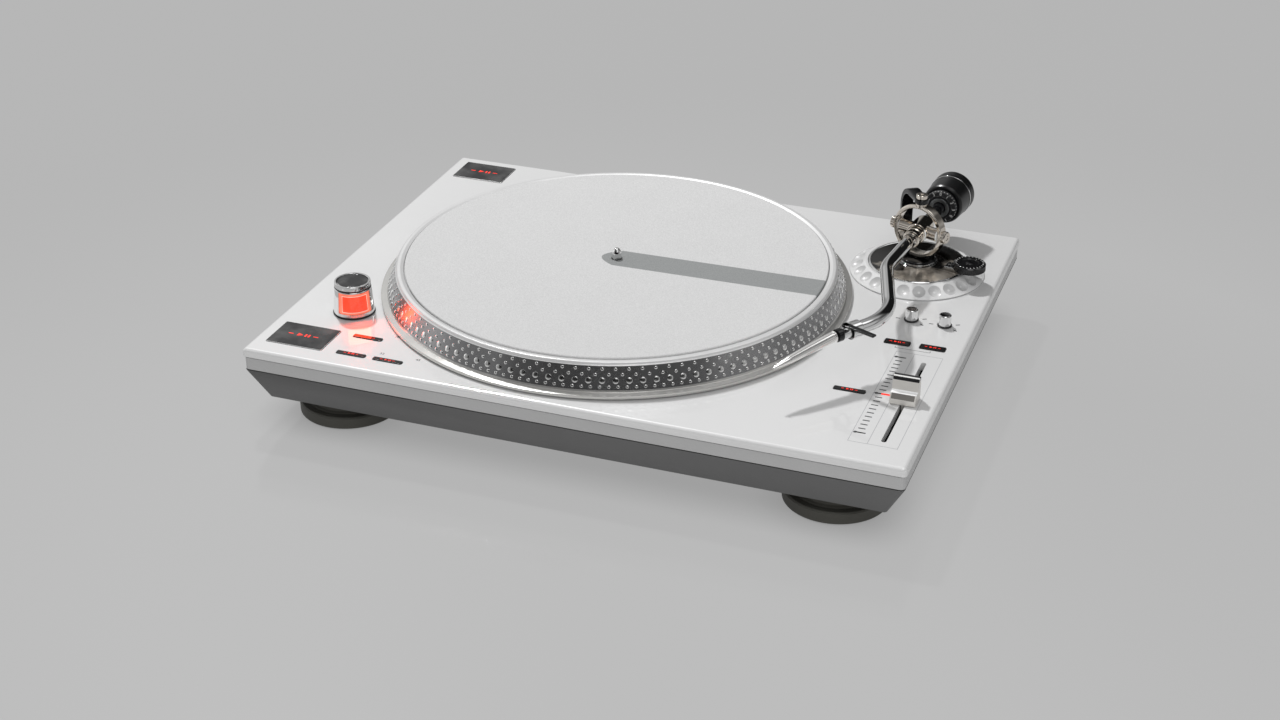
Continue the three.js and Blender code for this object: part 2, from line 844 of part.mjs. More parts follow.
const buildMotor = () => {
  const place = station(platterX, platterY, deckHeight);
  const plateTop = -deckThickness - gap;
  const base = tube(
    bearingRadius + gap,
    motorOpening + motorPlateLap,
    plateTop - motorPlateThickness,
    plateTop,
  );
  piece('motor_plate', base, steel, place);
  const bearing = turned(closed([
    [spindleRadius + gap, -bearingDepth],
    [bearingRadius, -bearingDepth],
    [bearingRadius, plateTop + gap],
    [bearingFlange, plateTop + gap],
    [bearingFlange, plateTop + gap + bearingFlangeThickness],
    [bearingRadius, plateTop + gap + bearingFlangeThickness],
    [bearingRadius, hubBottom - shoulderThickness - 2 * gap],
    [spindleRadius + gap, hubBottom - shoulderThickness - 2 * gap],
  ]), smallCount);
  piece('spindle_bearing', bearing, brass, place);
  const turn = (step) => (step / toothCount) * Math.PI * 2;
  const middle = (statorLow + statorHigh) / 2;
  const tooth = () =>
    block(
      statorOuter - statorCore + overrun,
      toothWidth,
      middle - toothWeb / 2,
      middle + toothWeb / 2,
      (statorOuter + statorCore - overrun) / 2,
    );
  const teeth = Array.from({ length: toothCount }, (_, step) => tooth().rotateZ(turn(step)));
  const core = tube(statorInner, statorCore, statorLow, statorHigh, roundCount);
  const foot = tube(statorInner, statorFoot, plateTop + gap, statorLow + gap, roundCount);
  const coilPlace = (statorCore + statorOuter) / 2;
  const coil = (step) =>
    block(coilReach, toothWidth + 2 * coilWall, middle - coilTall / 2, middle + coilTall / 2, coilPlace)
      .rotateZ(turn(step));
  const coils = Array.from({ length: toothCount }, (_, step) => coil(step));
  piece('motor_stator', join(core, foot, ...teeth, ...coils), copper, place);
};

// Strobe tower, its lens, lamp and the power dial that turns on top of it
const buildStrobe = () => {
  const place = station(strobeX, strobeY, deckHeight);
  piece('strobe_gasket', tube(gasketInner, gasketRadius, gap, gap + gasketThickness), blackSatin, place);
  const foot = gasketThickness + 2 * gap;
  const recess = strobeHeight - dialSink - dialThickness - gap;
  const slope = (strobeBase - strobeTop) / (strobeHeight - foot);
  const outerAt = (height) => strobeBase - slope * (height - foot);
  const innerAt = (height) => outerAt(height) - strobeWall;
  const rimInner = dialRadius + gap;
  const wall = turned(closed([
    [outerAt(foot), foot],
    [outerAt(strobeHeight - dialSink), strobeHeight - dialSink],
    [outerAt(strobeHeight) - dialSink, strobeHeight],
    [rimInner, strobeHeight],
    [rimInner, recess],
    [dialShaft + gap, recess],
    [dialShaft + gap, recess - towerRoof],
    [innerAt(recess - towerRoof), recess - towerRoof],
    [innerAt(foot), foot],
  ]), roundCount);
  const wedge = (spanDeg, low, high) => {
    const half = radians(spanDeg) / 2;
    const outline = new THREE.Shape();
    const reach = strobeBase + overrun;
    outline.moveTo(0, 0);
    outline.lineTo(reach * Math.cos(half), -reach * Math.sin(half));
    outline.absarc(0, 0, reach, -half, half);
    outline.closePath();
    const options = { depth: high - low, bevelEnabled: false, curveSegments: wedgeCount };
    return new THREE.ExtrudeGeometry(outline, options)
      .rotateZ(radians(windowTurnDeg))
      .translate(0, 0, low);
  };
  piece('strobe_tower', cut(wall, wedge(windowSpanDeg, windowLow, windowHigh)), chrome, place);
  const lensSpanDeg = windowSpanDeg - THREE.MathUtils.radToDeg((4 * gap) / strobeBase);
  const lensBand = turned(closed([
    [outerAt(windowLow) - gap, windowLow],
    [outerAt(windowHigh) - gap, windowHigh],
    [innerAt(windowHigh), windowHigh],
    [innerAt(windowLow), windowLow],
  ]), roundCount);
  const lens = common(lensBand, wedge(lensSpanDeg, windowLow + gap, windowHigh - gap));
  piece('strobe_window', lens, redLens, place);
  const switchTop = -deckThickness - gap;
  const switchBody = block(powerSwitchSize, powerSwitchSize, switchTop - powerSwitchHeight, switchTop);
  const bushing = drum(powerBushing, switchTop - gap, -gap);
  const lampLow = switchTop - gap;
  const lampHigh = lampLow + lampTall + deckThickness;
  const lampBoard = common(
    tube(lampInner, lampInner + lampThickness, lampLow, lampHigh),
    wedge(windowSpanDeg, lampLow - overrun, lampHigh + overrun),
  );
  const ledPitch = (windowHigh - windowLow) / (ledCount + 1);
  const leds = Array.from({ length: ledCount }, (_, step) =>
    block(ledReach + lampThickness, ledSize, -ledSize / 2, ledSize / 2)
      .translate(lampInner + ledReach / 2 + lampThickness, 0, windowLow + (step + 1) * ledPitch)
      .rotateZ(radians(windowTurnDeg)));
  const powerSwitch = cut(
    join(switchBody, bushing, lampBoard, ...leds),
    drum(dialShaft + gap, switchTop - powerSwitchHeight / 2, overrun),
  );
  piece('power_switch', powerSwitch, blackSatin, place);
  const dialTop = strobeHeight - dialSink;
  const dialFoot = switchTop - powerSwitchHeight / 2 + overrun;
  const dial = turned([
    [0, dialFoot],
    [dialShaft, dialFoot],
    [dialShaft, dialTop - dialThickness],
    [dialRadius, dialTop - dialThickness],
    [dialRadius, dialTop],
    [0, dialTop],
  ], roundCount);
  piece('power_dial', dial, blackGloss, place);
};

// Push buttons: a cap through the deck and a flange that holds it from below
const flangeLow = deckLow - gap - flangeThickness;
const pushButton = (name, width, depth, x, y) => {
  const cap = plate(width, depth, pocketCorner, flangeLow, deckHeight + buttonRise, pocketCount);
  const flange = block(width + 2 * flangeWidth, depth + 2 * flangeWidth, flangeLow, deckLow - gap);
  piece(name, join(cap, flange), blackGloss, station(x, y));
};

const buildButtons = () => {
  pushButton('start_button_front', startWidth, startDepth, startX, startFrontY);
  pushButton('start_button_rear', startWidth, startDepth, startX, startRearY);
  for (const button of buttons) {
    pushButton(button.name, button.width, button.depth, button.x, button.y);
  }
};

// Boards under the deck that carry the switches of the buttons
const boardTop = deckLow - boardDrop + boardThickness;
const boardLow = deckLow - boardDrop;
const deckBoard = (areas, switches, posts) => {
  const sheets = areas.map(([left, right, front, back]) =>
    block(right - left, back - front, boardLow, boardTop, (left + right) / 2, (front + back) / 2));
  const bodies = switches.map(([x, y]) =>
    block(switchSize, switchSize, boardTop - gap, flangeLow - buttonTravel - gap, x, y));
  const stands = posts.map(([x, y]) =>
    drum(boardPost, boardTop - gap, deckLow - gap, screwCount).translate(x, y, 0));
  return join(...sheets, ...bodies, ...stands);
};

const buildBoards = () => {
  const [low, mid, high, quartz, reset, range] = buttons;
  const startRight = startX + startWidth / 2 + flangeWidth;
  const postStep = 2 * boardPost;
  const leftArea = [
    startX - startWidth / 2 + postStep,
    mid.x + mid.width / 2 + flangeWidth + postStep,
    startFrontY - startDepth / 2,
    startFrontY + startDepth / 2 + postStep,
  ];
  const leftPosts = [
    [startRight + postStep, startFrontY],
    [leftArea[1] - postStep, startFrontY],
    [leftArea[1] - postStep, leftArea[3] - postStep],
  ];
  const leftSwitches = [[startX, startFrontY], [low.x, low.y], [mid.x, mid.y], [high.x, high.y]];
  piece('button_board_left', deckBoard([leftArea], leftSwitches, leftPosts), boardGreen);
  const rearArea = [
    startX - startWidth / 2 + postStep,
    startRight + 2 * postStep,
    startRearY - startDepth / 2,
    startRearY + startDepth / 2,
  ];
  const rearPosts = [
    [startRight + postStep, rearArea[2] + postStep],
    [startRight + postStep, rearArea[3] - postStep],
  ];
  piece('button_board_rear', deckBoard([rearArea], [[startX, startRearY]], rearPosts), boardGreen);
  const [startKnob, brakeKnob] = knobs;
  const strip = [
    range.x - range.width / 2,
    range.x + range.width / 2,
    range.y - postStep,
    quartz.y + postStep,
  ];
  const across = [
    quartz.x - quartz.width,
    brakeKnob.x + potSize / 2,
    quartz.y - quartz.depth / 2 - flangeWidth,
    startKnob.y + potSize / 2,
  ];
  const rightSwitches = [[quartz.x, quartz.y], [reset.x, reset.y], [range.x, range.y]];
  const rightPosts = [
    [across[0] + boardPost, 0],
    [(quartz.x + reset.x) / 2, -postStep],
    [range.x, (range.y + quartz.y) / 2],
  ];
  const pots = knobs.map((knob) =>
    join(
      block(potSize, potSize, deckLow - gap - potHeight, deckLow - gap, knob.x, knob.y),
      drum(potBushing, deckLow - 2 * gap, deckHeight - gap).translate(knob.x, knob.y, 0),
    ));
  const bores = knobs.map((knob) =>
    drum(knobShaft + gap, deckLow - potHeight + overrun, deckHeight + overrun).translate(knob.x, knob.y, 0));
  const board = join(deckBoard([strip, across], rightSwitches, rightPosts), ...pots);
  piece('control_board', cut(board, ...bores), boardGreen);
};

const buildKnobs = () => {
  const low = deckHeight + gap;
  for (const knob of knobs) {
    const shape = turned([
      [0, deckLow - potHeight + overrun + gap],
      [knobShaft, deckLow - potHeight + overrun + gap],
      [knobShaft, low],
      [knobRadius + knobSkirt, low],
      [knobRadius + knobSkirt, low + knobBaseHeight],
      [knobRadius, low + knobBaseHeight],
      [knobRadius, deckHeight + knobHeight - knobChamfer],
      [knobRadius - knobChamfer, deckHeight + knobHeight],
      [0, deckHeight + knobHeight],
    ], smallCount);
    piece(knob.name, shape, chrome, station(knob.x, knob.y));
  }
};

// Pitch fader: a stepped cap on a stem that runs in a track under the deck
const buildFader = () => {
  const place = station(faderX, faderY);
  const low = deckHeight + gap;
  const front = -faderDepth / 2;
  const side = [
    [0, low],
    [0, deckHeight + faderNose],
    [stepFrontShare, deckHeight + faderStep],
    [stepBackShare, deckHeight + faderStep],
    [gripFrontShare, deckHeight + faderTall],
    [gripBackShare, deckHeight + faderTall],
    [1, deckHeight + faderStep],
    [1, low],
  ];
  const outline = new THREE.Shape(side.map(([share, height]) =>
    new THREE.Vector2(front + share * faderDepth, height)));
  const cap = new THREE.ExtrudeGeometry(outline, { depth: faderWidth, bevelEnabled: false })
    .translate(0, 0, -faderWidth / 2)
    .rotateY(Math.PI / 2)
    .rotateX(Math.PI / 2);
  const stem = block(stemWidth, stemDepth, deckLow - stemReach, low + gap);
  piece('pitch_fader', join(cap, stem), chrome, place);
  const trackHigh = deckLow - gap;
  const track = cut(
    block(trackWidth, slotLength + 2 * trackOverhang, trackHigh - trackHeight, trackHigh),
    block(slotWidth, slotLength, trackHigh - trackHeight + trackWall, trackHigh + overrun),
  );
  piece('fader_track', track, blackSatin, place);
};

// Arm base: a height ring on the deck and a plate on a column inside it
const arm = station(armX, armY, deckHeight);
const buildArmBase = () => {
  const skirtOuter = ringLip + gap;
  const ringInner = basePlateRadius + gap;
  const ring = turned(closed([
    [ringInner, gap - deckThickness],
    [skirtOuter, gap - deckThickness],
    [skirtOuter, gap],
    [ringOuter, gap],
    [ringOuter, gap + ringEdge],
    [ringLip, ringHeight],
    [ringInner, ringHeight],
  ]), broadCount);
  piece('height_ring', ring, whiteLacquer, arm);
  const base = turned([
    [0, basePlateLow - gap],
    [columnRadius - columnWall, basePlateLow - gap],
    [columnRadius - columnWall, -columnReach],
    [columnRadius, -columnReach],
    [columnRadius, basePlateLow],
    [basePlateRadius, basePlateLow],
    [basePlateRadius, basePlateRim],
    [basePlateRadius - basePlateChamfer, basePlateRim + basePlateChamfer],
    [basePlateFlat, basePlateTop],
    [0, basePlateTop],
  ], broadCount);
  const bracketTop = bracketRise + bracketThickness;
  const bracket = join(
    block(bracketLength, bracketWidth, bracketRise - gap, bracketTop, skateReach - bracketLength / 2),
    drum(bracketWidth / 2, bracketRise - gap, bracketTop).translate(skateReach, 0, 0),
    drum(skatePost, bracketRise, bracketTop + skatePostHeight, screwCount).translate(skateReach, 0, 0),
  ).rotateZ(radians(skateTurnDeg));
  piece('arm_base', join(base, bracket), chrome, arm);
  const skate = station(
    skateReach * Math.cos(radians(skateTurnDeg)),
    skateReach * Math.sin(radians(skateTurnDeg)),
    bracketTop + gap,
    0,
    arm,
  );
  const dial = cut(
    drum(skateRadius, 0, skateThickness, roundCount),
    drum(skatePost + gap, -overrun, skatePostHeight, boreCount),
  );
  piece('anti_skate_dial', dial, blackSatin, skate);
};

// Yoke: a collar on the arm base and an arch that holds the upper pivot
const buildYoke = () => {
  const footLow = basePlateTop + gap;
  const footHigh = footLow + yokeFoot - gap;
  const headLow = armHeight + gimbalOuter + yokeHeadClear;
  const headHigh = headLow + yokeHead;
  const inner = yokeReach - yokeWall;
  const outline = new THREE.Shape();
  outline.moveTo(0, footLow);
  outline.lineTo(yokeReach - yokeBendLow, footLow);
  outline.absarc(yokeReach - yokeBendLow, footLow + yokeBendLow, yokeBendLow, -Math.PI / 2, 0);
  outline.absarc(yokeReach - yokeBendHigh, headHigh - yokeBendHigh, yokeBendHigh, 0, Math.PI / 2);
  outline.lineTo(0, headHigh);
  outline.lineTo(0, headLow);
  const innerBend = yokeBendHigh - yokeWall;
  outline.absarc(inner - innerBend, headHigh - yokeBendHigh, innerBend, Math.PI / 2, 0, true);
  outline.lineTo(inner, footHigh + yokeBendLow - yokeWall);
  outline.lineTo(inner - yokeBendLow + yokeWall, footHigh);
  outline.lineTo(0, footHigh);
  outline.closePath();
  const arch = new THREE.ExtrudeGeometry(outline, {
    depth: yokeWidth,
    bevelEnabled: false,
    curveSegments: yokeBendCount,
  })
    .translate(0, 0, -yokeWidth / 2)
    .rotateX(Math.PI / 2)
    .rotateZ(radians(yokeDeg));
  const yoke = cut(
    join(arch, drum(yokeCollar, footLow, footHigh, roundCount), drum(yokeEye, headLow, headHigh)),
    drum(pivotPin + gap, footHigh - cupDepth, footHigh + overrun, screwCount),
    drum(pivotScrew + gap, headLow - overrun, headHigh + overrun, screwCount),
  );
  piece('arm_yoke', yoke, blackSatin, arm);
  const screwLow = armHeight + gimbalOuter + gap;
  const screw = turned([
    [0, screwLow],
    [pivotScrew, screwLow],
    [pivotScrew, headHigh + gap],
    [pivotNut, headHigh + gap],
    [pivotNut, headHigh + gap + pivotNutHeight],
    [0, headHigh + gap + pivotNutHeight],
  ], screwCount);
  piece('top_pivot', screw, chrome, arm);
};

// The swinging part: a ring on upright pivots, and the tilting part inside it
const swing = station(0, 0, armHeight, radians(armRestDeg), arm);
const buildGimbal = () => {
  const footHigh = basePlateTop + yokeFoot;
  const ring = cut(
    barrel(gimbalOuter, -gimbalWidth / 2, gimbalWidth / 2, roundCount),
    barrel(gimbalInner, -gimbalWidth, gimbalWidth, roundCount),
    new THREE.CylinderGeometry(pivotPin + gap, pivotPin + gap, 2 * (gimbalOuter + overrun), screwCount)
      .rotateZ(Math.PI / 2),
  );
  const pin = drum(pivotPin, footHigh - cupDepth + gap - armHeight, gap - gimbalOuter, screwCount);
  piece('gimbal_ring', join(ring, pin), chrome, swing);
  for (const [name, turn] of [['side_pivot_right', 0], ['side_pivot_left', Math.PI]]) {
    const pivot = turned([
      [0, sidePinReach],
      [pivotPin, sidePinReach],
      [pivotPin, gimbalOuter + gap],
      [sideNut, gimbalOuter + gap],
      [sideNut, gimbalOuter + gap + sideNutLength],
      [0, gimbalOuter + gap + sideNutLength],
    ], screwCount)
      .rotateY(Math.PI / 2)
      .rotateZ(turn);
    piece(name, pivot, chrome, swing);
  }
  const across = (radius, from, to) =>
    new THREE.CylinderGeometry(radius, radius, to - from, boreCount)
      .rotateZ(-Math.PI / 2)
      .translate((from + to) / 2, 0, 0);
  const carrier = cut(
    join(
      barrel(blockRadius, -blockFront, blockBack, smallCount),
      barrel(sleeveRadius, -blockFront - sleeveLength, -blockFront + overrun, smallCount),
      barrel(tailRadius, blockBack - overrun, tailEnd, smallCount),
      across(housingRadius, -housingReach, housingReach),
    ),
    across(pivotPin + gap, sidePinReach - gap, housingReach + overrun),
    across(pivotPin + gap, -housingReach - overrun, gap - sidePinReach),
  );
  piece('bearing_block', carrier, silverPlastic, swing);
};

// The arm tube lies in one plane, as straight runs joined by round bends
const runs = [
  { length: firstRunLength - blockFront - sleeveLength - gap, turn: 0 },
  { length: firstBendRadius * radians(Math.abs(firstBendDeg)), turn: radians(firstBendDeg) },
  { length: secondRunLength, turn: 0 },
  { length: secondBendRadius * radians(Math.abs(secondBendDeg)), turn: radians(secondBendDeg) },
  { length: lastRunLength, turn: 0 },
];
const tubeLength = runs.reduce((sum, run) => sum + run.length, 0);

class ArmPath extends THREE.Curve {
  getPoint(share, target = new THREE.Vector3()) {
    let left = share * tubeLength;
    let heading = 0;
    target.set(0, -blockFront - sleeveLength - gap, 0);
    for (const run of runs) {
      const step = Math.min(left, run.length);
      const turn = (run.turn * step) / run.length;
      const chord = turn ? (step * Math.sin(turn / 2)) / (turn / 2) : step;
      target.x += chord * Math.sin(heading + turn / 2);
      target.y -= chord * Math.cos(heading + turn / 2);
      heading += turn;
      left -= step;
    }
    return target;
  }
}

const buildArm = () => {
  const path = new ArmPath();
  const circle = new THREE.Shape().absarc(0, 0, tubeRadius, 0, Math.PI * 2);
  const armTube = new THREE.ExtrudeGeometry(circle, {
    steps: tubeStepCount,
    curveSegments: tubeSideCount,
    extrudePath: path,
  });
  piece('arm_tube', armTube, chrome, swing);

  // Everything from the collar on lies along the tube's last direction
  const end = path.getPoint(1);
  const heading = radians(firstBendDeg + secondBendDeg);
  const head = station(end.x, end.y, 0, heading, swing);
  const shellStart = gap;
  const dip = radians(headDipDeg);
  const bodyStart = shellStart + shellLength + gap + (bodyTall / 2) * Math.sin(dip);
  const collarEnd = collarLength - collarLap;
  const collar = cut(
    barrel(collarRadius, -collarEnd, collarLap, collarCount),
    barrel(tubeRadius + gap, -collarEnd - overrun, collarLap + overrun, collarCount),
  );
  piece('lock_collar', collar, chrome, head);
  const liftRoot = shellStart + shellLength * liftRootShare;
  const headshell = join(
    barrel(shellRadius, -shellStart - shellLength, -shellStart, smallCount),
    drum(liftPost, 0, shellRadius + gap, screwCount).translate(0, -liftRoot, 0),
  );
  piece('headshell', headshell, blackSatin, head);
  const liftLow = shellRadius + 2 * gap;
  const lift = join(
    block(liftLength, liftWidth, liftLow, liftLow + liftThickness, liftLength / 2 - liftWidth / 2),
    drum(liftPost, liftLow, liftLow + liftThickness, screwCount),
  )
    .rotateZ(radians(liftSweepDeg))
    .translate(0, -liftRoot, 0);
  piece('finger_lift', lift, blackSatin, head);

  // Slim cartridge body that dips towards the record
  const nose = new THREE.Group();
  nose.position.set(0, -bodyStart, 0);
  nose.rotation.x = dip;
  head.add(nose);
  const section = (width, tall, reach, drop) => {
    const facet = Math.min(width, tall) * bodyFacetShare;
    const halfX = width / 2;
    const halfZ = tall / 2;
    const corners = [-1, 1].flatMap((side) => [-1, 1].flatMap((end) => [
      [side * halfX, end * (halfZ - facet)],
      [side * (halfX - facet), end * halfZ],
    ]));
    return corners.map(([x, z]) => new THREE.Vector3(x, -reach, z - drop));
  };
  const drop = (bodyTall - bodyTipTall) / 2;
  const body = hull(
    section(bodyWidth, bodyTall, 0, 0),
    section(bodyTipWidth, bodyTipTall, bodyLength, drop),
  );
  piece('cartridge', body, silverPlastic, nose);
  const noseStart = bodyLength + gap;
  const noseEnd = noseStart + noseLength;
  const tipHull = hull(
    section(bodyTipWidth, bodyTipTall, noseStart, drop),
    section(noseWidth, noseTall, noseEnd, bodyTall / 2 - noseTall / 2),
  );
  const tipReach = (stylusHeight - armHeight + noseEnd * Math.sin(dip)) / Math.cos(dip);
  const pointTop = -bodyTall / 4;
  const point = new THREE.CylinderGeometry(stylusWidth / 2, stylusTip / 2, pointTop - tipReach, screwCount)
    .rotateX(Math.PI / 2)
    .translate(0, -noseEnd + noseTall, (tipReach + pointTop) / 2);
  piece('stylus', join(tipHull, point), silverPlastic, nose);
};

const buildCounterweight = () => {
  const bored = (inner, outer) => {
    const profile = closed([[inner, outer[0][1]], ...outer, [inner, outer.at(-1)[1]]]);
    return new THREE.LatheGeometry(profile.map(([radius, y]) => new THREE.Vector2(radius, y)), roundCount);
  };
  const carrier = bored(tailRadius + gap, [[carrierRadius, carrierStart], [carrierRadius, carrierEnd]]);
  piece('weight_carrier', carrier, steel, swing);
  const weight = bored(carrierRadius + gap, [
    [weightFrontRadius - weightChamfer, weightStart],
    [weightFrontRadius, weightStart + weightChamfer],
    [weightRadius, weightEnd - weightChamfer],
    [weightRadius - weightChamfer, weightEnd],
    [recessRadius, weightEnd],
    [recessRadius, weightEnd - weightRecess],
  ]);
  piece('counterweight', weight, blackLacquer, swing);
  const dialEnd = weightStart - gap;
  const dial = bored(carrierRadius + gap, [
    [forceDialRadius, dialEnd - forceDialWidth],
    [forceDialRadius, dialEnd],
  ]);
  piece('force_dial', dial, blackSatin, swing);
};

// Boards and sockets inside the case
const buildMainBoard = () => {
  const low = floorTop + mainBoardStand;
  const top = low + boardThickness;
  const place = station(leftEdge + mainBoardSide + mainBoardWidth / 2, mainBoardBack);
  const cornerX = mainBoardWidth / 2 - chipSize / 2;
  const cornerY = mainBoardDepth / 2 - chipSize / 2;
  const stands = [-1, 1].flatMap((side) => [-1, 1].map((end) =>
    drum(boardPost, floorTop + gap, low + gap, screwCount).translate(side * cornerX, end * cornerY, 0)));
  const caps = [-1, 0, 1].map((step) =>
    drum(capRadius, top - gap, top + capHeight, screwCount).translate(-cornerX, step * chipSize, 0));
  const board = join(
    block(mainBoardWidth, mainBoardDepth, low, top),
    block(chipSize, chipSize, top - gap, top + chipHeight, chipSize / 2, chipSize),
    block(chipSize, chipSize / 2, top - gap, top + chipHeight, chipSize / 2, -chipSize),
    ...stands,
    ...caps,
  );
  piece('main_board', board, boardGreen, place);
};

const buildTransformer = () => {
  const low = floorTop + gap;
  const high = low + coreHeight;
  const middle = (low + high) / 2;
  const core = block(coreWidth, coreDepth, low, high);
  const winding = block(
    windingWidth,
    coreDepth + 2 * windingLap,
    middle - windingHeight / 2,
    middle + windingHeight / 2,
  );
  piece('transformer', join(core, winding), steel, station(leftEdge + coreSide, rearEdge - coreRear));
};

const buildSockets = () => {
  const faceY = pocketFace + gap;
  const mains = station(mainsPocket.x, faceY, socketHeight);
  const inletBox = (grow, from, to) =>
    new THREE.BoxGeometry(inletWidth + 2 * grow, to - from, inletTall + 2 * grow)
      .translate(0, (from + to) / 2, 0);
  const pins = [-1, 1].map((side) =>
    barrel(inletPin, -inletRecess - gap, -inletRecess * (1 - inletPinShare), screwCount)
      .translate(side * (inletPinPitch / 2), 0, 0));
  const inlet = join(
    cut(
      join(inletBox(0, -inletRecess - inletBack, gap), inletBox(inletFlange / 2, 0, inletFlangeThickness)),
      inletBox(-inletShell, -inletRecess, inletFlangeThickness + overrun),
    ),
    ...pins,
  );
  piece('mains_inlet', inlet, blackSatin, mains);
  const nutEnd = groundNutStart + groundNutLength;
  const plateLeft = jackPlaces[0] - jackFlange - jackFlangeThickness;
  const plateRight = groundX + groundNut + jackFlangeThickness;
  const panel = join(
    new THREE.BoxGeometry(plateRight - plateLeft, jackFlangeThickness, 2 * jackFlange)
      .translate((plateLeft + plateRight) / 2, jackFlangeThickness / 2, 0),
    ...jackPlaces.flatMap((x) => [
      barrel(jackBody, -jackDepth, gap, screwCount).translate(x, 0, 0),
      barrel(jackBarrel, 0, jackReach).translate(x, 0, 0),
    ]),
    barrel(groundPost, -jackDepth, nutEnd + gap, screwCount).translate(groundX, 0, 0),
    barrel(groundNut, groundNutStart, nutEnd, screwCount).translate(groundX, 0, 0),
  );
  const bores = jackPlaces.map((x) =>
    barrel(jackBore, jackFlangeThickness, jackReach + overrun, screwCount).translate(x, 0, 0));
  piece('signal_panel', cut(panel, ...bores), brass, station(0, faceY, socketHeight));
};

buildDeck();
buildBand();
buildTub();
buildCaseScrews();
buildFeet();
buildPlatter();
buildMotor();
buildStrobe();
buildButtons();
buildBoards();
buildKnobs();
buildFader();
buildArmBase();
buildYoke();
buildGimbal();
buildArm();
buildCounterweight();
buildMainBoard();
buildTransformer();
buildSockets();

export default model;
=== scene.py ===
"""A direct drive turntable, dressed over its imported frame.

Lengths are in millimetres while a piece is modelled. A finished piece is then
settled, which brings it to metres on the frame's own axes: X to the right,
Y to the back and Z up, with the floor at zero under the middle of the deck.
"""

import logging
import math
from contextlib import contextmanager
from dataclasses import dataclass, replace
from enum import Enum
from math import radians
from typing import Any, Callable, Iterator, Sequence

import bmesh
import bpy
from mathutils import Matrix, Vector


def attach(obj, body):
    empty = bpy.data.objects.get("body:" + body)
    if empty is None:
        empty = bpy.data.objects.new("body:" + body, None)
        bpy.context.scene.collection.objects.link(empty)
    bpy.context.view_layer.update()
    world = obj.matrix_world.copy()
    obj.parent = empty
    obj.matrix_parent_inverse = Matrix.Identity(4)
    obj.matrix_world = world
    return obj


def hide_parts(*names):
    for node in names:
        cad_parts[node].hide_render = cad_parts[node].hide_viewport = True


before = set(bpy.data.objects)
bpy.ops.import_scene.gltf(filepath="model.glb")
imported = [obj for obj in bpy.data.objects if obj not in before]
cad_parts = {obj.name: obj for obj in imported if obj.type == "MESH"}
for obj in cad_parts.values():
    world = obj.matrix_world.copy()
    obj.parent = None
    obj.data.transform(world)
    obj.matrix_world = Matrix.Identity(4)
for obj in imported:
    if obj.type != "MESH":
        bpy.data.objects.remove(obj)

MM = 0.001
# The radius of a ring that stands for a point, and how near two corners are when they merge
POLE = 0.002
MERGE = 2.5 * POLE
UPRIGHT = Matrix.Identity(4)

Piece = bpy.types.Object
Tree = bpy.types.NodeTree
Node = bpy.types.Node
Socket = bpy.types.NodeSocket
Points = list[tuple[float, float]]
Outline = Sequence[tuple[float, float]]
Test = Callable[[Vector, Vector], int]
log = logging.getLogger("turntable")


class Kind(Enum):
    """What an edit works on."""

    VERT = "VERT"
    EDGE = "EDGE"
    FACE = "FACE"


# Modelling


def rest() -> None:
    """Leave edit mode and deselect everything."""
    if bpy.context.mode != "OBJECT":
        bpy.ops.object.mode_set(mode="OBJECT")
    bpy.ops.object.select_all(action="DESELECT")


def hold(*pieces: Piece) -> Piece:
    """Select only these pieces and make the first one active.

    Args:
        pieces: The pieces to select.

    Returns:
        The first piece.
    """
    rest()
    for piece in pieces:
        piece.select_set(True)
    bpy.context.view_layer.objects.active = pieces[0]
    return pieces[0]


@contextmanager
def shaping(piece: Piece, kind: Kind = Kind.VERT) -> Iterator[None]:
    """Stay in edit mode on one piece, with nothing selected at first.

    Args:
        piece: The piece to shape.
        kind: What is selected by picks.
    """
    hold(piece)
    bpy.ops.object.mode_set(mode="EDIT")
    bpy.ops.mesh.select_mode(type=kind.value)
    bpy.ops.mesh.select_all(action="DESELECT")
    yield
    bpy.ops.object.mode_set(mode="OBJECT")


def pick(piece: Piece, kind: Kind, test: Test) -> None:
    """Select parts of the mesh by their place and heading.

    Args:
        piece: The piece in edit mode.
        kind: The parts to look through.
        test: Takes a part's middle and its direction or normal.
    """
    sheet = bmesh.from_edit_mesh(piece.data)
    bpy.ops.mesh.select_all(action="DESELECT")
    if kind is Kind.VERT:
        found = [v for v in sheet.verts if test(v.co, v.normal)]
    elif kind is Kind.EDGE:
        found = [
            e
            for e in sheet.edges
            if test((e.verts[0].co + e.verts[1].co) / 2, (e.verts[1].co - e.verts[0].co).normalized())
        ]
    else:
        found = [f for f in sheet.faces if test(f.calc_center_median(), f.normal)]
    for part in found:
        part.select_set(True)
    sheet.select_flush_mode()
    bmesh.update_edit_mesh(piece.data)


def modify(piece: Piece, kind: str, **settings: Any) -> None:
    """Add a modifier with its settings and apply it.

    Args:
        piece: The piece that is changed.
        kind: The modifier's type.
        settings: Its properties.
    """
    hold(piece)
    modifier = piece.modifiers.new(kind.lower(), kind)
    for key, value in settings.items():
        setattr(modifier, key, value)
    bpy.ops.object.modifier_apply(modifier=modifier.name)


def take_all() -> None:
    """Select the whole mesh in edit mode."""
    bpy.ops.mesh.select_all(action="SELECT")


def face_out() -> None:
    """Turn all faces of the mesh in edit mode outward."""
    take_all()
    bpy.ops.mesh.normals_make_consistent(inside=False)


def rolled(degrees: float, axis: str = "Z") -> Matrix:
    """Give a turn about an axis."""
    return Matrix.Rotation(radians(degrees), 4, axis)


def named(name: str) -> Piece:
    """Name the primitive that was just added, with its place in its mesh.

    Args:
        name: The piece's name.

    Returns:
        The piece.
    """
    piece = bpy.context.object
    bpy.ops.object.transform_apply(location=True, rotation=True, scale=True)
    piece.name = piece.data.name = name
    return piece


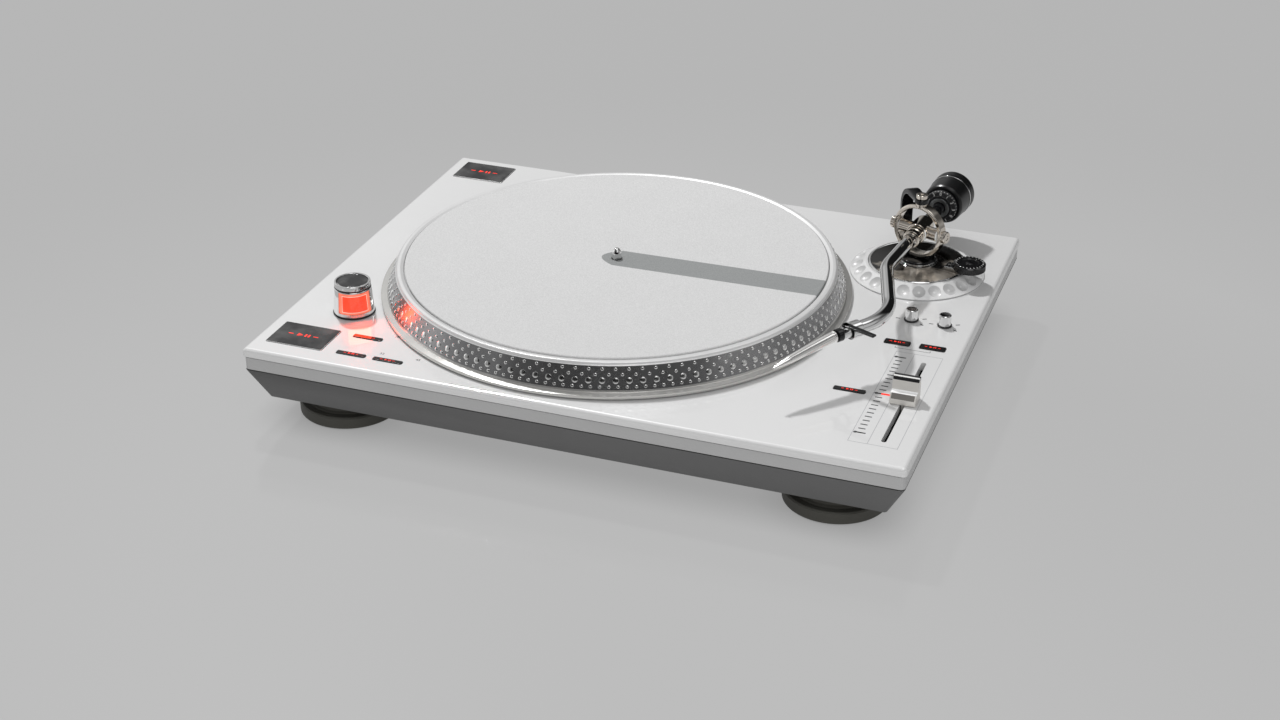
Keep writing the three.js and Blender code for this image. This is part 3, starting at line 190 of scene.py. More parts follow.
def eased(outline: Outline, radius: float, steps: int, closed: bool) -> Points:
    """Round the corners of an outline.

    Args:
        outline: The corners in order.
        radius: The radius at each corner, limited by the sides that meet there.
        steps: How many chords each round has.
        closed: Whether the last corner joins the first.

    Returns:
        The outline with round corners.
    """
    points = [Vector(point) for point in outline]
    rounded = []
    for index, corner in enumerate(points):
        ends = not closed and index in (0, len(points) - 1)
        back = points[index - 1] - corner
        ahead = points[(index + 1) % len(points)] - corner
        if ends or not radius or back.angle(ahead) > radians(172):
            rounded.append(tuple(corner))
            continue
        reach = min(radius / math.tan(back.angle(ahead) / 2), 0.48 * back.length, 0.48 * ahead.length)
        start = corner + back.normalized() * reach
        finish = corner + ahead.normalized() * reach
        for step in range(steps + 1):
            share = step / steps
            rounded.append(tuple(start.lerp(corner, share).lerp(corner.lerp(finish, share), share)))
    return rounded


def turned(
    name: str, outline: Outline, sides: int = 64, ease: float = 0.3, steps: int = 3, bored: bool = False
) -> Piece:
    """Turn a piece on a lathe, ring by ring from a circle.

    Args:
        name: The piece's name.
        outline: Pairs of radius and height, from the bottom up the outside.
        sides: How many sides the rings have.
        ease: The radius that rounds the outline's corners.
        steps: How many chords each round has.
        bored: Whether the outline closes on itself round a bore.

    Returns:
        The closed piece, standing on the Z axis.
    """
    ends = list(outline) if bored else [(0.0, outline[0][1]), *outline, (0.0, outline[-1][1])]
    ends = [point for index, point in enumerate(ends) if index == 0 or point != ends[index - 1]]
    rings = eased(ends, ease, steps, bored)
    if bored:
        rings.append(rings[0])
    rings = [(max(radius, POLE), height) for radius, height in rings]
    rest()
    bpy.ops.mesh.primitive_circle_add(vertices=sides, radius=rings[0][0], location=(0, 0, rings[0][1]))
    piece = named(name)
    with shaping(piece):
        take_all()
        for (radius, height), (wider, higher) in zip(rings, rings[1:]):
            bpy.ops.mesh.extrude_region_move(TRANSFORM_OT_translate={"value": (0, 0, higher - height)})
            size = (wider / radius, wider / radius, 1)
            bpy.ops.transform.resize(value=size, center_override=(0, 0, higher))
        take_all()
        bpy.ops.mesh.remove_doubles(threshold=MERGE)
        face_out()
    return piece


def slab(
    name: str,
    size: Sequence[float],
    centre: Sequence[float],
    corner: float = 0.0,
    ease: float = 0.0,
    steps: int = 4,
) -> Piece:
    """Make a block whose upright edges are round and whose other edges are eased.

    Args:
        name: The piece's name.
        size: Its width, depth and height.
        centre: The middle of the block.
        corner: The radius of its upright edges.
        ease: The radius along its top and bottom.
        steps: How many chords each round corner has.

    Returns:
        The block.
    """
    rest()
    bpy.ops.mesh.primitive_cube_add(size=1, location=centre, scale=size)
    piece = named(name)
    if corner:
        with shaping(piece, Kind.EDGE):
            pick(piece, Kind.EDGE, lambda middle, along: abs(along.z) > 0.9)
            bpy.ops.mesh.bevel(offset=corner, segments=steps, affect="EDGES")
    if ease:
        soften(piece, ease)
    return piece


def prism(name: str, outline: Outline, depth: float, ease: float = 0.0) -> Piece:
    """Extrude an outline in X and Z along Y.

    Args:
        name: The piece's name.
        outline: The corners, as X and Z.
        depth: How long the piece is along Y, half on each side of zero.
        ease: The radius along its sharp edges.

    Returns:
        The closed piece.
    """
    rest()
    bpy.ops.mesh.primitive_circle_add(vertices=len(outline), radius=1, fill_type="NGON")
    piece = named(name)
    for vertex, (across, height) in zip(piece.data.vertices, outline):
        vertex.co = (across, -depth / 2, height)
    with shaping(piece, Kind.FACE):
        take_all()
        bpy.ops.mesh.extrude_region_move(TRANSFORM_OT_translate={"value": (0, depth, 0)})
        face_out()
    if ease:
        soften(piece, ease)
    return piece


def soften(piece: Piece, width: float, segments: int = 2, angle: float = 40.0) -> None:
    """Round the sharp edges of a piece, or none if the width is zero.

    Args:
        piece: The piece.
        width: The width of the round.
        segments: How many faces go across it.
        angle: Edges that turn by more degrees than this are rounded.
    """
    if not width:
        return
    modify(piece, "BEVEL", width=width, segments=segments, limit_method="ANGLE", angle_limit=radians(angle))


def placed(piece: Piece, place: Matrix) -> Piece:
    """Move a piece's mesh to a place that is given in millimetres."""
    piece.data.transform(place)
    return piece


def joined(*pieces: Piece, name: str = "") -> Piece:
    """Join pieces into the first one, and rename it if a name is given.

    Args:
        pieces: The pieces, all of which end up in the first.
        name: The new name, or nothing to keep the first piece's.

    Returns:
        The joined piece.
    """
    piece = hold(*pieces)
    bpy.ops.object.join()
    piece.name = name or piece.name
    return piece


def carved(piece: Piece, *cutters: Piece) -> Piece:
    """Cut the cutters out of a piece and throw them away.

    Args:
        piece: The piece that is cut.
        cutters: What is cut out of it.

    Returns:
        The piece.
    """
    cutter = joined(*cutters) if len(cutters) > 1 else cutters[0]
    modify(piece, "BOOLEAN", operation="DIFFERENCE", solver="EXACT", object=cutter)
    hold(cutter)
    bpy.ops.object.delete()
    return piece


def knurled(piece: Piece, sides: int, low: float, high: float, depth: float) -> Piece:
    """Press upright grooves into the side of a turned piece.

    Args:
        piece: The turned piece, with an even number of sides.
        sides: How many sides it has.
        low: The lowest height that is grooved.
        high: The highest height that is grooved.
        depth: How deep the grooves are.

    Returns:
        The piece.
    """
    reach = max(vertex.co.xy.length for vertex in piece.data.vertices)

    def groove(place: Vector, normal: Vector) -> bool:
        """Tell whether a corner lies at the bottom of a groove."""
        turn = math.atan2(place.y, place.x) / math.tau * sides
        return round(turn) % 2 == 1 and place.xy.length > reach - 1.5 * depth and low <= place.z <= high

    with shaping(piece):
        pick(piece, Kind.VERT, groove)
        size = (1 - depth / reach, 1 - depth / reach, 1)
        bpy.ops.transform.resize(value=size, center_override=(0, 0, 0))
    return piece


def squared(piece: Piece, corner: float) -> None:
    """Tighten the round upright corners of a case, level by level.

    Args:
        piece: The case, centred on the Z axis.
        corner: The new radius of its corners.
    """
    levels: dict[float, list[bpy.types.MeshVertex]] = {}
    for vertex in piece.data.vertices:
        levels.setdefault(round(vertex.co.z, 1), []).append(vertex)
    for level in levels.values():
        half = Vector((max(abs(v.co.x) for v in level), max(abs(v.co.y) for v in level)))
        old = half.x - max(abs(v.co.x) for v in level if half.y - abs(v.co.y) < 0.01)
        for vertex in level:
            out = Vector((abs(vertex.co.x), abs(vertex.co.y))) - half + Vector((old, old))
            if corner < old < 12 and min(out) > -0.01 and out.length > 0.85 * old:
                place = half - Vector((corner, corner)) + out * corner / old
                vertex.co.x = math.copysign(place.x, vertex.co.x)
                vertex.co.y = math.copysign(place.y, vertex.co.y)


def refined(name: str, node: str, ease: float, corner: float = 0.0) -> Piece:
    """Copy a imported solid, merge its triangles and ease its edges.

    Args:
        name: The new piece's name.
        node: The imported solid.
        ease: The radius along its sharp edges.
        corner: The radius of its upright corners, where they are tightened.

    Returns:
        The copy, in millimetres.
    """
    piece = bpy.data.objects.new(name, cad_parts[node].data.copy())
    bpy.context.scene.collection.objects.link(piece)
    piece.data.transform(Matrix.Scale(1 / MM, 4))
    with shaping(piece):
        take_all()
        bpy.ops.mesh.remove_doubles(threshold=MERGE)
        bpy.ops.mesh.dissolve_limited(angle_limit=radians(0.5))
        face_out()
    if corner:
        squared(piece, corner)
    soften(piece, ease)
    return piece


def arrayed(piece: Piece, count: int, step: Sequence[float]) -> Piece:
    """Repeat a piece in a row.

    Args:
        piece: The piece to repeat.
        count: How many there are.
        step: The step from one to the next.

    Returns:
        The piece with its copies.
    """
    modify(
        piece,
        "ARRAY",
        count=count,
        use_relative_offset=False,
        use_constant_offset=True,
        constant_offset_displace=tuple(step),
    )
    return piece


def ringed(
    piece: Piece, count: int, seat: Matrix, base: Matrix = UPRIGHT, shift: float = 0.0, axis: str = "Z"
) -> Piece:
    """Copy a piece round a circle, each copy with its own mesh, and join the copies.

    Args:
        piece: The piece to repeat.
        count: How many there are.
        seat: The place of a piece that isn't turned yet, seen from the circle's middle.
        base: The place of the circle's middle.
        shift: How far the first one is turned, as a share of the step between two.
        axis: The axis that they stand round.

    Returns:
        The joined copies.
    """
    copies = []
    for step in range(count):
        copy = bpy.data.objects.new(piece.name, piece.data.copy())
        bpy.context.scene.collection.objects.link(copy)
        turn = Matrix.Rotation((step + shift) / count * math.tau, 4, axis)
        copies.append(placed(copy, base @ turn @ seat))
    name = piece.name
    hold(piece)
    bpy.ops.object.delete()
    whole = joined(*copies)
    whole.name = whole.data.name = name
    return whole


def arc(x: float, z: float, radius: float, start: float, finish: float, steps: int = 12) -> Points:
    """Give points on an arc.

    Args:
        x: The arc's middle along the first axis.
        z: The arc's middle along the second axis.
        radius: Its radius.
        start: Where it starts, in degrees.
        finish: Where it ends, in degrees.
        steps: How many chords it has.

    Returns:
        The points in order.
    """
    turns = [radians(start + (finish - start) * step / steps) for step in range(steps + 1)]
    return [(x + radius * math.cos(turn), z + radius * math.sin(turn)) for turn in turns]


def section(inner: float, outer: float, low: float, high: float) -> Points:
    """Give the outline of a turned ring whose section is a rectangle."""
    return [(inner, low), (outer, low), (outer, high), (inner, high)]


def number(word: str, size: float) -> Piece:
    """Print a number as a thin mesh.

    Args:
        word: The digits.
        size: The height of their line.

    Returns:
        The number, lying flat with its middle at the origin.
    """
    rest()
    bpy.ops.object.text_add(location=(0, 0, 0))
    text = bpy.context.object
    text.data.body = word
    text.data.size = size
    text.data.align_x = "CENTER"
    text.data.align_y = "CENTER"
    text.data.extrude = 0.025
    bpy.ops.object.convert(target="MESH")
    piece = named("number")
    with shaping(piece):
        take_all()
        bpy.ops.mesh.remove_doubles(threshold=POLE)
    return piece


def at(x: float, y: float, z: float = 0.0, turn: float = 0.0, base: Matrix = UPRIGHT) -> Matrix:
    """Give a place in millimetres, turned about the upright axis by degrees."""
    return base @ Matrix.Translation((x, y, z)) @ rolled(turn)


def lying(base: Matrix = UPRIGHT) -> Matrix:
    """Lay a turned piece down, so that its axis runs along Y of its base."""
    return base @ rolled(-90, "X")


# Materials


def linear(code: str) -> tuple[float, float, float, float]:
    """Turn an sRGB hex value into a linear colour.

    Args:
        code: The colour, as in #ffffff.

    Returns:
        Red, green, blue and one.
    """
    parts = [int(code[step : step + 2], 16) / 255 for step in (1, 3, 5)]
    bent = [part / 12.92 if part <= 0.04045 else ((part + 0.055) / 1.055) ** 2.4 for part in parts]
    return (*bent, 1.0)


def add_node(
    tree: Tree,
    kind: str,
    settings: dict[str | int, Any] | None = None,
    links: dict[str | int, Socket] | None = None,
) -> Node:
    """Add a node with its settings and links.

    Args:
        tree: The material's node tree.
        kind: The node's type.
        settings: Values by the name or number of an input, or by a property's name.
        links: The sockets that feed its inputs.

    Returns:
        The new node.
    """
    node = tree.nodes.new(kind)
    for key, value in (settings or {}).items():
        if isinstance(key, int) or key in node.inputs:
            node.inputs[key].default_value = value
        else:
            setattr(node, key, value)
    for key, source in (links or {}).items():
        tree.links.new(source, node.inputs[key])
    return node


@dataclass(frozen=True)
class Finish:
    """A surface with a base colour, a fine mottle, a grain and uneven gloss.

    The mottle, the grain and the smudges are noises whose sizes are real ones.
    """

    name: str
    colour: str
    roughness: float
    metallic: float = 0.0
    coat: float = 0.0
    coat_roughness: float = 0.03
    mottle: float = 0.03
    mottle_size: float = 40.0
    grain_size: float = 0.8
    grain_depth: float = 0.01
    smudge: float = 0.05
    smudge_size: float = 25.0

    def material(self) -> bpy.types.Material:
        """Give the material, made once.

        Returns:
            The material, which every piece with this finish shares.
        """
        known = bpy.data.materials.get(self.name)
        if known:
            return known
        material = bpy.data.materials.new(self.name)
        material.use_nodes = True
        tree = material.node_tree
        shader = tree.nodes["Principled BSDF"]
        shader.inputs["Metallic"].default_value = self.metallic
        shader.inputs["Coat Weight"].default_value = self.coat
        shader.inputs["Coat Roughness"].default_value = self.coat_roughness
        self.dress(tree, shader)
        return material

    def dress(self, tree: Tree, shader: Node) -> None:
        """Wire the colour, the gloss and the grain into the shader.

        Args:
            tree: The material's node tree.
            shader: Its main shader.
        """
        place = add_node(tree, "ShaderNodeTexCoord").outputs["Object"]
        tree.links.new(self.tint(tree, place), shader.inputs["Base Color"])
        tree.links.new(self.gloss(tree, place), shader.inputs["Roughness"])
        tree.links.new(self.relief(tree, place), shader.inputs["Normal"])

    def tint(self, tree: Tree, place: Socket) -> Socket:
        """Give the base colour with its mottle.

        Args:
            tree: The material's node tree.
            place: The point on the piece, as a socket.

        Returns:
            The colour.
        """
        cloud = self.noise(tree, place, self.mottle_size, 3.0)
        parts = linear(self.colour)[:3]
        dark = tuple(part * (1 - self.mottle) for part in parts)
        light = tuple(min(1.0, part * (1 + self.mottle)) for part in parts)
        return mixed(tree, (*dark, 1.0), (*light, 1.0), cloud)

    def gloss(self, tree: Tree, place: Socket) -> Socket:
        """Give the roughness with its smudges.

        Args:
            tree: The material's node tree.
            place: The point on the piece, as a socket.

        Returns:
            The roughness.
        """
        cloud = self.noise(tree, place, self.smudge_size, 4.0)
        low, high = max(0.0, self.roughness - self.smudge / 2), self.roughness + self.smudge / 2
        settings = {"From Min": 0.3, "From Max": 0.7, "To Min": low, "To Max": high}
        return add_node(tree, "ShaderNodeMapRange", settings, {"Value": cloud}).outputs["Result"]

    def relief(self, tree: Tree, place: Socket) -> Socket:
        """Give the normal with its grain.

        Args:
            tree: The material's node tree.
            place: The point on the piece, as a socket.

        Returns:
            The normal.
        """
        height = self.grain(tree, place)
        settings = {"Strength": 1.0, "Distance": self.grain_depth * MM}
        return add_node(tree, "ShaderNodeBump", settings, {"Height": height}).outputs["Normal"]

    def grain(self, tree: Tree, place: Socket) -> Socket:
        """Give the height of the grain."""
        return self.noise(tree, place, self.grain_size, 2.0)

    def noise(self, tree: Tree, place: Socket, size: float, detail: float) -> Socket:
        """Give a noise whose patches measure about the given millimetres."""
        settings = {"Scale": 1 / (size * MM), "Detail": detail}
        return add_node(tree, "ShaderNodeTexNoise", settings, {"Vector": place}).outputs["Fac"]


def feed(tree: Tree, socket: Socket, value: Socket | float | tuple[float, ...]) -> None:
    """Link a value into a socket, or set the socket to a plain one.

    Args:
        tree: The material's node tree.
        socket: The socket that gets the value.
        value: The value or the socket that gives it.
    """
    if isinstance(value, Socket):
        tree.links.new(value, socket)
    else:
        socket.default_value = value


def mixed(
    tree: Tree,
    first: tuple[float, ...] | Socket,
    second: tuple[float, ...] | Socket,
    share: float | Socket,
    blend: str = "MIX",
) -> Socket:
    """Mix two colours.

    Args:
        tree: The material's node tree.
        first: The colour where the share is zero.
        second: The colour where the share is one.
        share: The share of the second.
        blend: How they are mixed.

    Returns:
        The mixed colour.
    """
    node = add_node(tree, "ShaderNodeMix", {"data_type": "RGBA", "blend_type": blend})
    for index, value in ((0, share), (6, first), (7, second)):
        feed(tree, node.inputs[index], value)
    return node.outputs[2]


def sums(tree: Tree, operation: str, *values: float | Socket) -> Socket:
    """Work out one sum on numbers or sockets.

    Args:
        tree: The material's node tree.
        operation: The sum's name, as the node has it.
        values: What it works on.

    Returns:
        The result.
    """
    node = add_node(tree, "ShaderNodeMath", {"operation": operation})
    for index, value in enumerate(values):
        feed(tree, node.inputs[index], value)
    return node.outputs[0]


@dataclass(frozen=True)
class TurnedMetal(Finish):
    """Metal from a lathe, whose fine rings run round the upright axis at a place."""

    centre: tuple[float, float] = (0.0, 0.0)
    ring_size: float = 0.6

    def grain(self, tree: Tree, place: Socket) -> Socket:
        """Give a noise that changes only with the radius and the height, like the tool's rings.

        Args:
            tree: The material's node tree.
            place: The point on the piece, as a socket.

        Returns:
            The height of the grain.
        """
        settings = {"Location": (-self.centre[0] * MM, -self.centre[1] * MM, 0)}
        moved = add_node(tree, "ShaderNodeMapping", settings, {"Vector": place})
        parts = add_node(tree, "ShaderNodeSeparateXYZ", links={0: moved.outputs[0]})
        flat = add_node(tree, "ShaderNodeCombineXYZ", links={0: parts.outputs[0], 1: parts.outputs[1]})
        radius = add_node(tree, "ShaderNodeVectorMath", {"operation": "LENGTH"}, {0: flat.outputs[0]})
        links = {0: radius.outputs["Value"], 1: parts.outputs[2]}
        track = add_node(tree, "ShaderNodeCombineXYZ", links=links)
        return self.noise(tree, track.outputs[0], self.ring_size, 2.0)


@dataclass(frozen=True)
class Felt(Finish):
    """Pressed wool felt: matt, with short crossing fibres and a plain woven-in stripe."""

    stripe: str = "#929494"
    centre: tuple[float, float] = (0.0, 0.0)
    turn: float = 0.0
    half_width: float = 12.0
    start: float = -10.0
    fray: float = 0.5
    bow: float = 0.9

    def tint(self, tree: Tree, place: Socket) -> Socket:
        """Give the wool's colour, with flecks and the stripe.

        Args:
            tree: The material's node tree.
            place: The point on the piece, as a socket.

        Returns:
            The colour.
        """
        plain = Finish.tint(self, tree, place)
        settings = {
            "vector_type": "TEXTURE",
            "Location": (self.centre[0] * MM, self.centre[1] * MM, 0),
            "Rotation": (0, 0, radians(self.turn)),
        }
        moved = add_node(tree, "ShaderNodeMapping", settings, {"Vector": place})
        parts = add_node(tree, "ShaderNodeSeparateXYZ", links={0: moved.outputs[0]})
        fray = sums(tree, "MULTIPLY", self.noise(tree, place, self.fray, 2.0), self.fray * MM)
        across = sums(tree, "ADD", sums(tree, "ABSOLUTE", parts.outputs[1]), fray)
        low, high = (self.half_width + 0.1) * MM, (self.half_width + 0.4) * MM
        settings = {"From Min": low, "From Max": high, "To Min": 1.0, "To Max": 0.0}
        side = add_node(tree, "ShaderNodeMapRange", settings, {"Value": across}).outputs["Result"]
        bow = sums(tree, "MULTIPLY", sums(tree, "POWER", across, 2.0), self.bow / (self.half_width * MM))
        ahead = sums(tree, "SUBTRACT", parts.outputs[0], bow)
        settings = {"From Min": (self.start - 0.2) * MM, "From Max": (self.start + 0.2) * MM}
        head = add_node(tree, "ShaderNodeMapRange", settings, {"Value": ahead}).outputs["Result"]
        striped = mixed(tree, plain, linear(self.stripe), sums(tree, "MULTIPLY", side, head))
        settings = {"From Min": 0.35, "From Max": 0.65, "To Min": 0.9, "To Max": 1.04}
        fibre = self.noise(tree, place, 0.9, 6.0)
        fleck = add_node(tree, "ShaderNodeMapRange", settings, {"Value": fibre}).outputs["Result"]
        grey = add_node(tree, "ShaderNodeCombineXYZ", links={0: fleck, 1: fleck, 2: fleck}).outputs[0]
        return mixed(tree, striped, grey, 1.0, "MULTIPLY")

    def grain(self, tree: Tree, place: Socket) -> Socket:
        """Give the height of the crossing fibres, drawn coarse enough to show, and of soft lumps.

        Args:
            tree: The material's node tree.
            place: The point on the piece, as a socket.

        Returns:
            The height of the grain.
        """
        fine = self.noise(tree, place, 0.7, 6.0)
        lumps = self.noise(tree, place, 3.5, 3.0)
        return sums(tree, "ADD", fine, sums(tree, "MULTIPLY", lumps, 1.6))


@dataclass(frozen=True)
class Lamp(Finish):
    """A lit lens or mark that glows in its own colour."""

    glow: str = "#ff4a33"
    strength: float = 1.0

    def dress(self, tree: Tree, shader: Node) -> None:
        """Wire the plain finish and an uneven glow.

        Args:
            tree: The material's node tree.
            shader: Its main shader.
        """
        Finish.dress(self, tree, shader)
        shader.inputs["Emission Color"].default_value = linear(self.glow)
        place = add_node(tree, "ShaderNodeTexCoord").outputs["Object"]
        cloud = self.noise(tree, place, 7.0, 1.0)
        low, high = 0.8 * self.strength, 1.1 * self.strength
        settings = {"From Min": 0.3, "From Max": 0.7, "To Min": low, "To Max": high}
        glow = add_node(tree, "ShaderNodeMapRange", settings, {"Value": cloud}).outputs["Result"]
        tree.links.new(glow, shader.inputs["Emission Strength"])


@dataclass(frozen=True)
class CloudedMirror(Finish):
    """A smoked mirror with cloudy patches of a lighter tone.

    Where front is given, the patches thicken from its first value to its second: a painted reflection that
    lightens the mirror towards the front and right.
    """

    light: str = "#e2e2e2"
    cloud_size: float = 16.0
    front: tuple[float, ...] = ()

    def tint(self, tree: Tree, place: Socket) -> Socket:
        """Give the smoked tone with its clouds.

        Args:
            tree: The material's node tree.
            place: The point on the piece, as a socket.

        Returns:
            The colour.
        """
        cloud = self.noise(tree, place, self.cloud_size, 3.0)
        settings = {"From Min": 0.42, "From Max": 0.68}
        share = add_node(tree, "ShaderNodeMapRange", settings, {"Value": cloud}).outputs["Result"]
        # With front given, the lean lightens the mirror towards the front and right: a painted reflection
        if self.front:
            parts = add_node(tree, "ShaderNodeSeparateXYZ", links={0: place})
            along = sums(tree, "MULTIPLY_ADD", parts.outputs[0], -0.5, parts.outputs[1])
            near, far = self.front
            settings = {"From Min": near * MM, "From Max": far * MM, "To Min": -0.8, "To Max": 0.6}
            lean = add_node(tree, "ShaderNodeMapRange", settings, {"Value": along}).outputs["Result"]
            share = sums(tree, "MINIMUM", sums(tree, "MAXIMUM", sums(tree, "ADD", share, lean), 0.0), 1.0)
        return mixed(tree, linear(self.colour), linear(self.light), share)


PLATTER_CENTRE = (-25.0, -2.75)
STROBE_CENTRE = (-182.7, -102.2)
ARM_PIVOT = (170.0, 94.0)
FADER_CENTRE = (207.3, -95.55)
KNOB_CENTRES = ((184.5, 17.0), (208.0, 16.2))
DECK_TOP = 58.0
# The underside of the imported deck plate
DECK_UNDERSIDE = DECK_TOP - 6.5
# The width, depth, X and Y of every plate and button
BUTTONS = {
    "start_button_front": (42.0, 30.0, -198.0, -147.5),
    "start_button_rear": (42.0, 30.0, -198.0, 153.2),
    "speed_button_low": (21.3, 3.9, -155.6, -160.0),
    "speed_button_mid": (21.3, 3.9, -128.5, -160.0),
    "speed_button_high": (21.3, 3.9, -155.6, -135.1),
    "quartz_button": (17.5, 6.4, 183.5, -18.7),
    "reset_button": (17.5, 6.4, 207.8, -18.7),
    "range_button": (21.1, 4.4, 170.3, -93.45),
}

# Sprayed polyester lacquer: pale, deep gloss, with a faint orange peel
LACQUER = Finish(
    "pale_lacquer", "#dfdfdf", 0.3, coat=1.0, coat_roughness=0.02, mottle=0.005,
    grain_size=3.0, grain_depth=0.0008, smudge=0.02,
)
# The same lacquer on the cone of the height ring
RING_LACQUER = replace(LACQUER, name="ring_lacquer", colour="#e0e0e0")
# The dimples of the height ring: the same lacquer, less glossy, and darker as a painted shade in the hollows
DIMPLE_SHADE_LACQUER = replace(
    LACQUER, name="dimple_painted_shade", colour="#c9c9c9",
    roughness=0.38, coat=0.15, coat_roughness=0.15, mottle=0.01,
)
# Powder coat: a mid grey with a soft, slightly pebbled sheen
GREY_COAT = Finish(
    "grey_powder_coat", "#b6b6b6", 0.42, coat=0.25, coat_roughness=0.2, grain_size=1.2, grain_depth=0.02
)
# Textured ABS: dark and low in gloss, with a moulded leather-like grain
DARK_ABS = Finish(
    "grained_dark_abs", "#656565", 0.5, mottle=0.06, grain_size=1.1, grain_depth=0.06, smudge=0.12
)
# Moulded rubber: dark, soft and slightly dusty
RUBBER = Finish(
    "dusty_rubber", "#484742", 0.55, mottle=0.08, mottle_size=9.0,
    grain_size=0.9, grain_depth=0.04, smudge=0.15,
)
# Cast aluminium, face turned and polished: bright, with fine rings
POLISHED_RIM = TurnedMetal(
    "polished_aluminium", "#dedede", 0.3, metallic=0.38, grain_depth=0.006, smudge=0.03, centre=PLATTER_CENTRE
)
# The platter's wide flange: polished and a little cloudy
POLISHED_LIP = TurnedMetal(
    "polished_lip", "#d2d1ce", 0.2, metallic=0.65, grain_depth=0.03, smudge=0.06, centre=PLATTER_CENTRE
)
# The platter's band: grey metal, finely turned
TURNED_BAND = TurnedMetal(
    "bright_turned_band", "#a4a4a5", 0.26, metallic=0.88, grain_depth=0.005, smudge=0.08,
    centre=PLATTER_CENTRE,
)
# The platter's dots: raised and polished bright
BRIGHT_DOT = Finish("bright_dot", "#f0f0ef", 0.22, metallic=1.0, grain_size=0.5, grain_depth=0.003)
# Wool felt: pale grey, matt, with a plain darker stripe
WOOL_FELT = Felt(
    "wool_felt", "#d1d1d1", 0.95, mottle=0.02, mottle_size=30.0, grain_depth=0.22, smudge=0.02,
    centre=PLATTER_CENTRE, turn=1.0, half_width=12.25, start=-11.0,
)
# Bright chrome plate: a hard mirror with faint smudges
CHROME = Finish("chrome_plate", "#e6e6e6", 0.05, metallic=1.0, mottle=0.01, grain_size=6.0, grain_depth=0.002)
# The same chrome where it is a shade warmer, on the gimbal and its nuts
WARM_CHROME = Finish(
    "warm_chrome_plate", "#e2dad0", 0.07, metallic=1.0, mottle=0.02, grain_size=5.0, grain_depth=0.004
)
# Satin silver lacquer on the fader: soft and slightly warm
SATIN_SILVER = Finish(
    "satin_silver", "#dedbd6", 0.36, metallic=0.3, mottle=0.02, grain_size=0.5, grain_depth=0.003
)
# Smoked mirror foil, cloudy
CLOUDED_MIRROR = CloudedMirror(
    "clouded_mirror", "#19191b", 0.14, grain_size=6.0, grain_depth=0.002, light="#4e4e4e"
)
# The arm's base plate: smoked chrome that is clearer, with warm light clouds that thicken towards the front
# and right as a painted reflection
REFLECTION_PAINTED_MIRROR = CloudedMirror(
    "smoked_mirror_painted_reflection", "#12100f", 0.09, metallic=0.4, coat=0.15, grain_size=9.0, grain_depth=0.003,
    light="#cfc6ba", cloud_size=14.0, front=(14.0, -26.0),
)
# Bright nickel with a white cast, on the slim cartridge
WHITE_METAL = Finish(
    "white_nickel", "#f1f0ee", 0.14, metallic=0.85, mottle=0.01, grain_size=2.0, grain_depth=0.002
)
# Black mirror plate under clear varnish, slightly cloudy
BLACK_MIRROR = Finish(
    "black_mirror", "#0d0d0e", 0.05, coat=1.0, coat_roughness=0.02, mottle=0.2, smudge=0.04,
    grain_size=8.0, grain_depth=0.003,
)
# A painted highlight: the plates' bevelled edges in near white
PLATE_EDGE_HIGHLIGHT = Finish(
    "painted_edge_highlight", "#f0f0f0", 0.3, metallic=0.3, mottle=0.01, grain_size=0.6, grain_depth=0.001
)
# A painted highlight: a white line across the fader's cap along its step
RIDGE_HIGHLIGHT = Finish("painted_ridge_highlight", "#fafafa", 0.3, mottle=0.01, grain_size=0.6, grain_depth=0.001)
# Slate lacquer in the step of the fader
SLATE = Finish("slate_lacquer", "#7d7a76", 0.4, metallic=0.2, mottle=0.02, grain_size=0.8, grain_depth=0.003)
# Black glass over the small buttons
BLACK_GLASS = Finish(
    "black_glass", "#0a0a0b", 0.16, mottle=0.3, mottle_size=4.0, smudge=0.1, smudge_size=5.0
)
# Dark chrome: a smoked mirror
DARK_CHROME = Finish(
    "smoked_chrome", "#77767a", 0.08, metallic=1.0, mottle=0.05, grain_size=8.0, grain_depth=0.003
)
# Gloss black lacquer on cast metal
BLACK_LACQUER = Finish("black_lacquer", "#0c0c0e", 0.1, mottle=0.1, grain_size=3.0, grain_depth=0.003)
# The counterweight's lacquer: as black, with a softer gloss
WEIGHT_LACQUER = Finish(
    "soft_black_lacquer", "#09090a", 0.3, mottle=0.1, grain_size=3.0, grain_depth=0.002, smudge=0.03
)
# Black nylon: moulded with a low sheen
BLACK_NYLON = Finish(
    "black_nylon", "#1c1c1e", 0.38, mottle=0.08, grain_size=0.7, grain_depth=0.015, smudge=0.1
)
# Zinc plated steel: cool grey, with a soft grain
ZINC = Finish(
    "zinc_plate", "#a9acae", 0.32, metallic=1.0, mottle=0.06, mottle_size=8.0,
    grain_size=0.6, smudge=0.12,
)
# Turned brass
BRASS = Finish("turned_brass", "#b99a55", 0.3, metallic=1.0, mottle=0.04, grain_size=0.5)
# Enamelled copper wire, wound in tight rows
COPPER = Finish(
    "wound_copper", "#a8643a", 0.35, metallic=1.0, mottle=0.12, mottle_size=1.0,
    grain_size=0.5, grain_depth=0.15,
)
# Sintered ferrite: dark grey and dull
FERRITE = Finish(
    "sintered_ferrite", "#46484b", 0.7, mottle=0.08, mottle_size=4.0, grain_size=0.6, grain_depth=0.03
)
# Glass fibre board under green solder mask
CIRCUIT = Finish("solder_mask", "#24563a", 0.4, coat=0.3, mottle=0.15, mottle_size=2.0, grain_depth=0.02)
# Silver-white lacquer under a clear coat
SILVER = Finish(
    "white_silver_lacquer", "#f2f2f0", 0.2, coat=0.6, mottle=0.02, grain_size=2.0, grain_depth=0.002
)
# Screen print ink on the lacquer: grey and thin
INK = Finish("grey_ink", "#47484a", 0.5, mottle=0.05, mottle_size=2.0, grain_size=0.4, grain_depth=0.005)
# Paler ink for the thin border lines
PALE_INK = replace(INK, name="pale_ink", colour="#adaeb0")
# White ink on the dials
WHITE_INK = replace(INK, name="white_ink", colour="#e8e8e6", mottle=0.03)
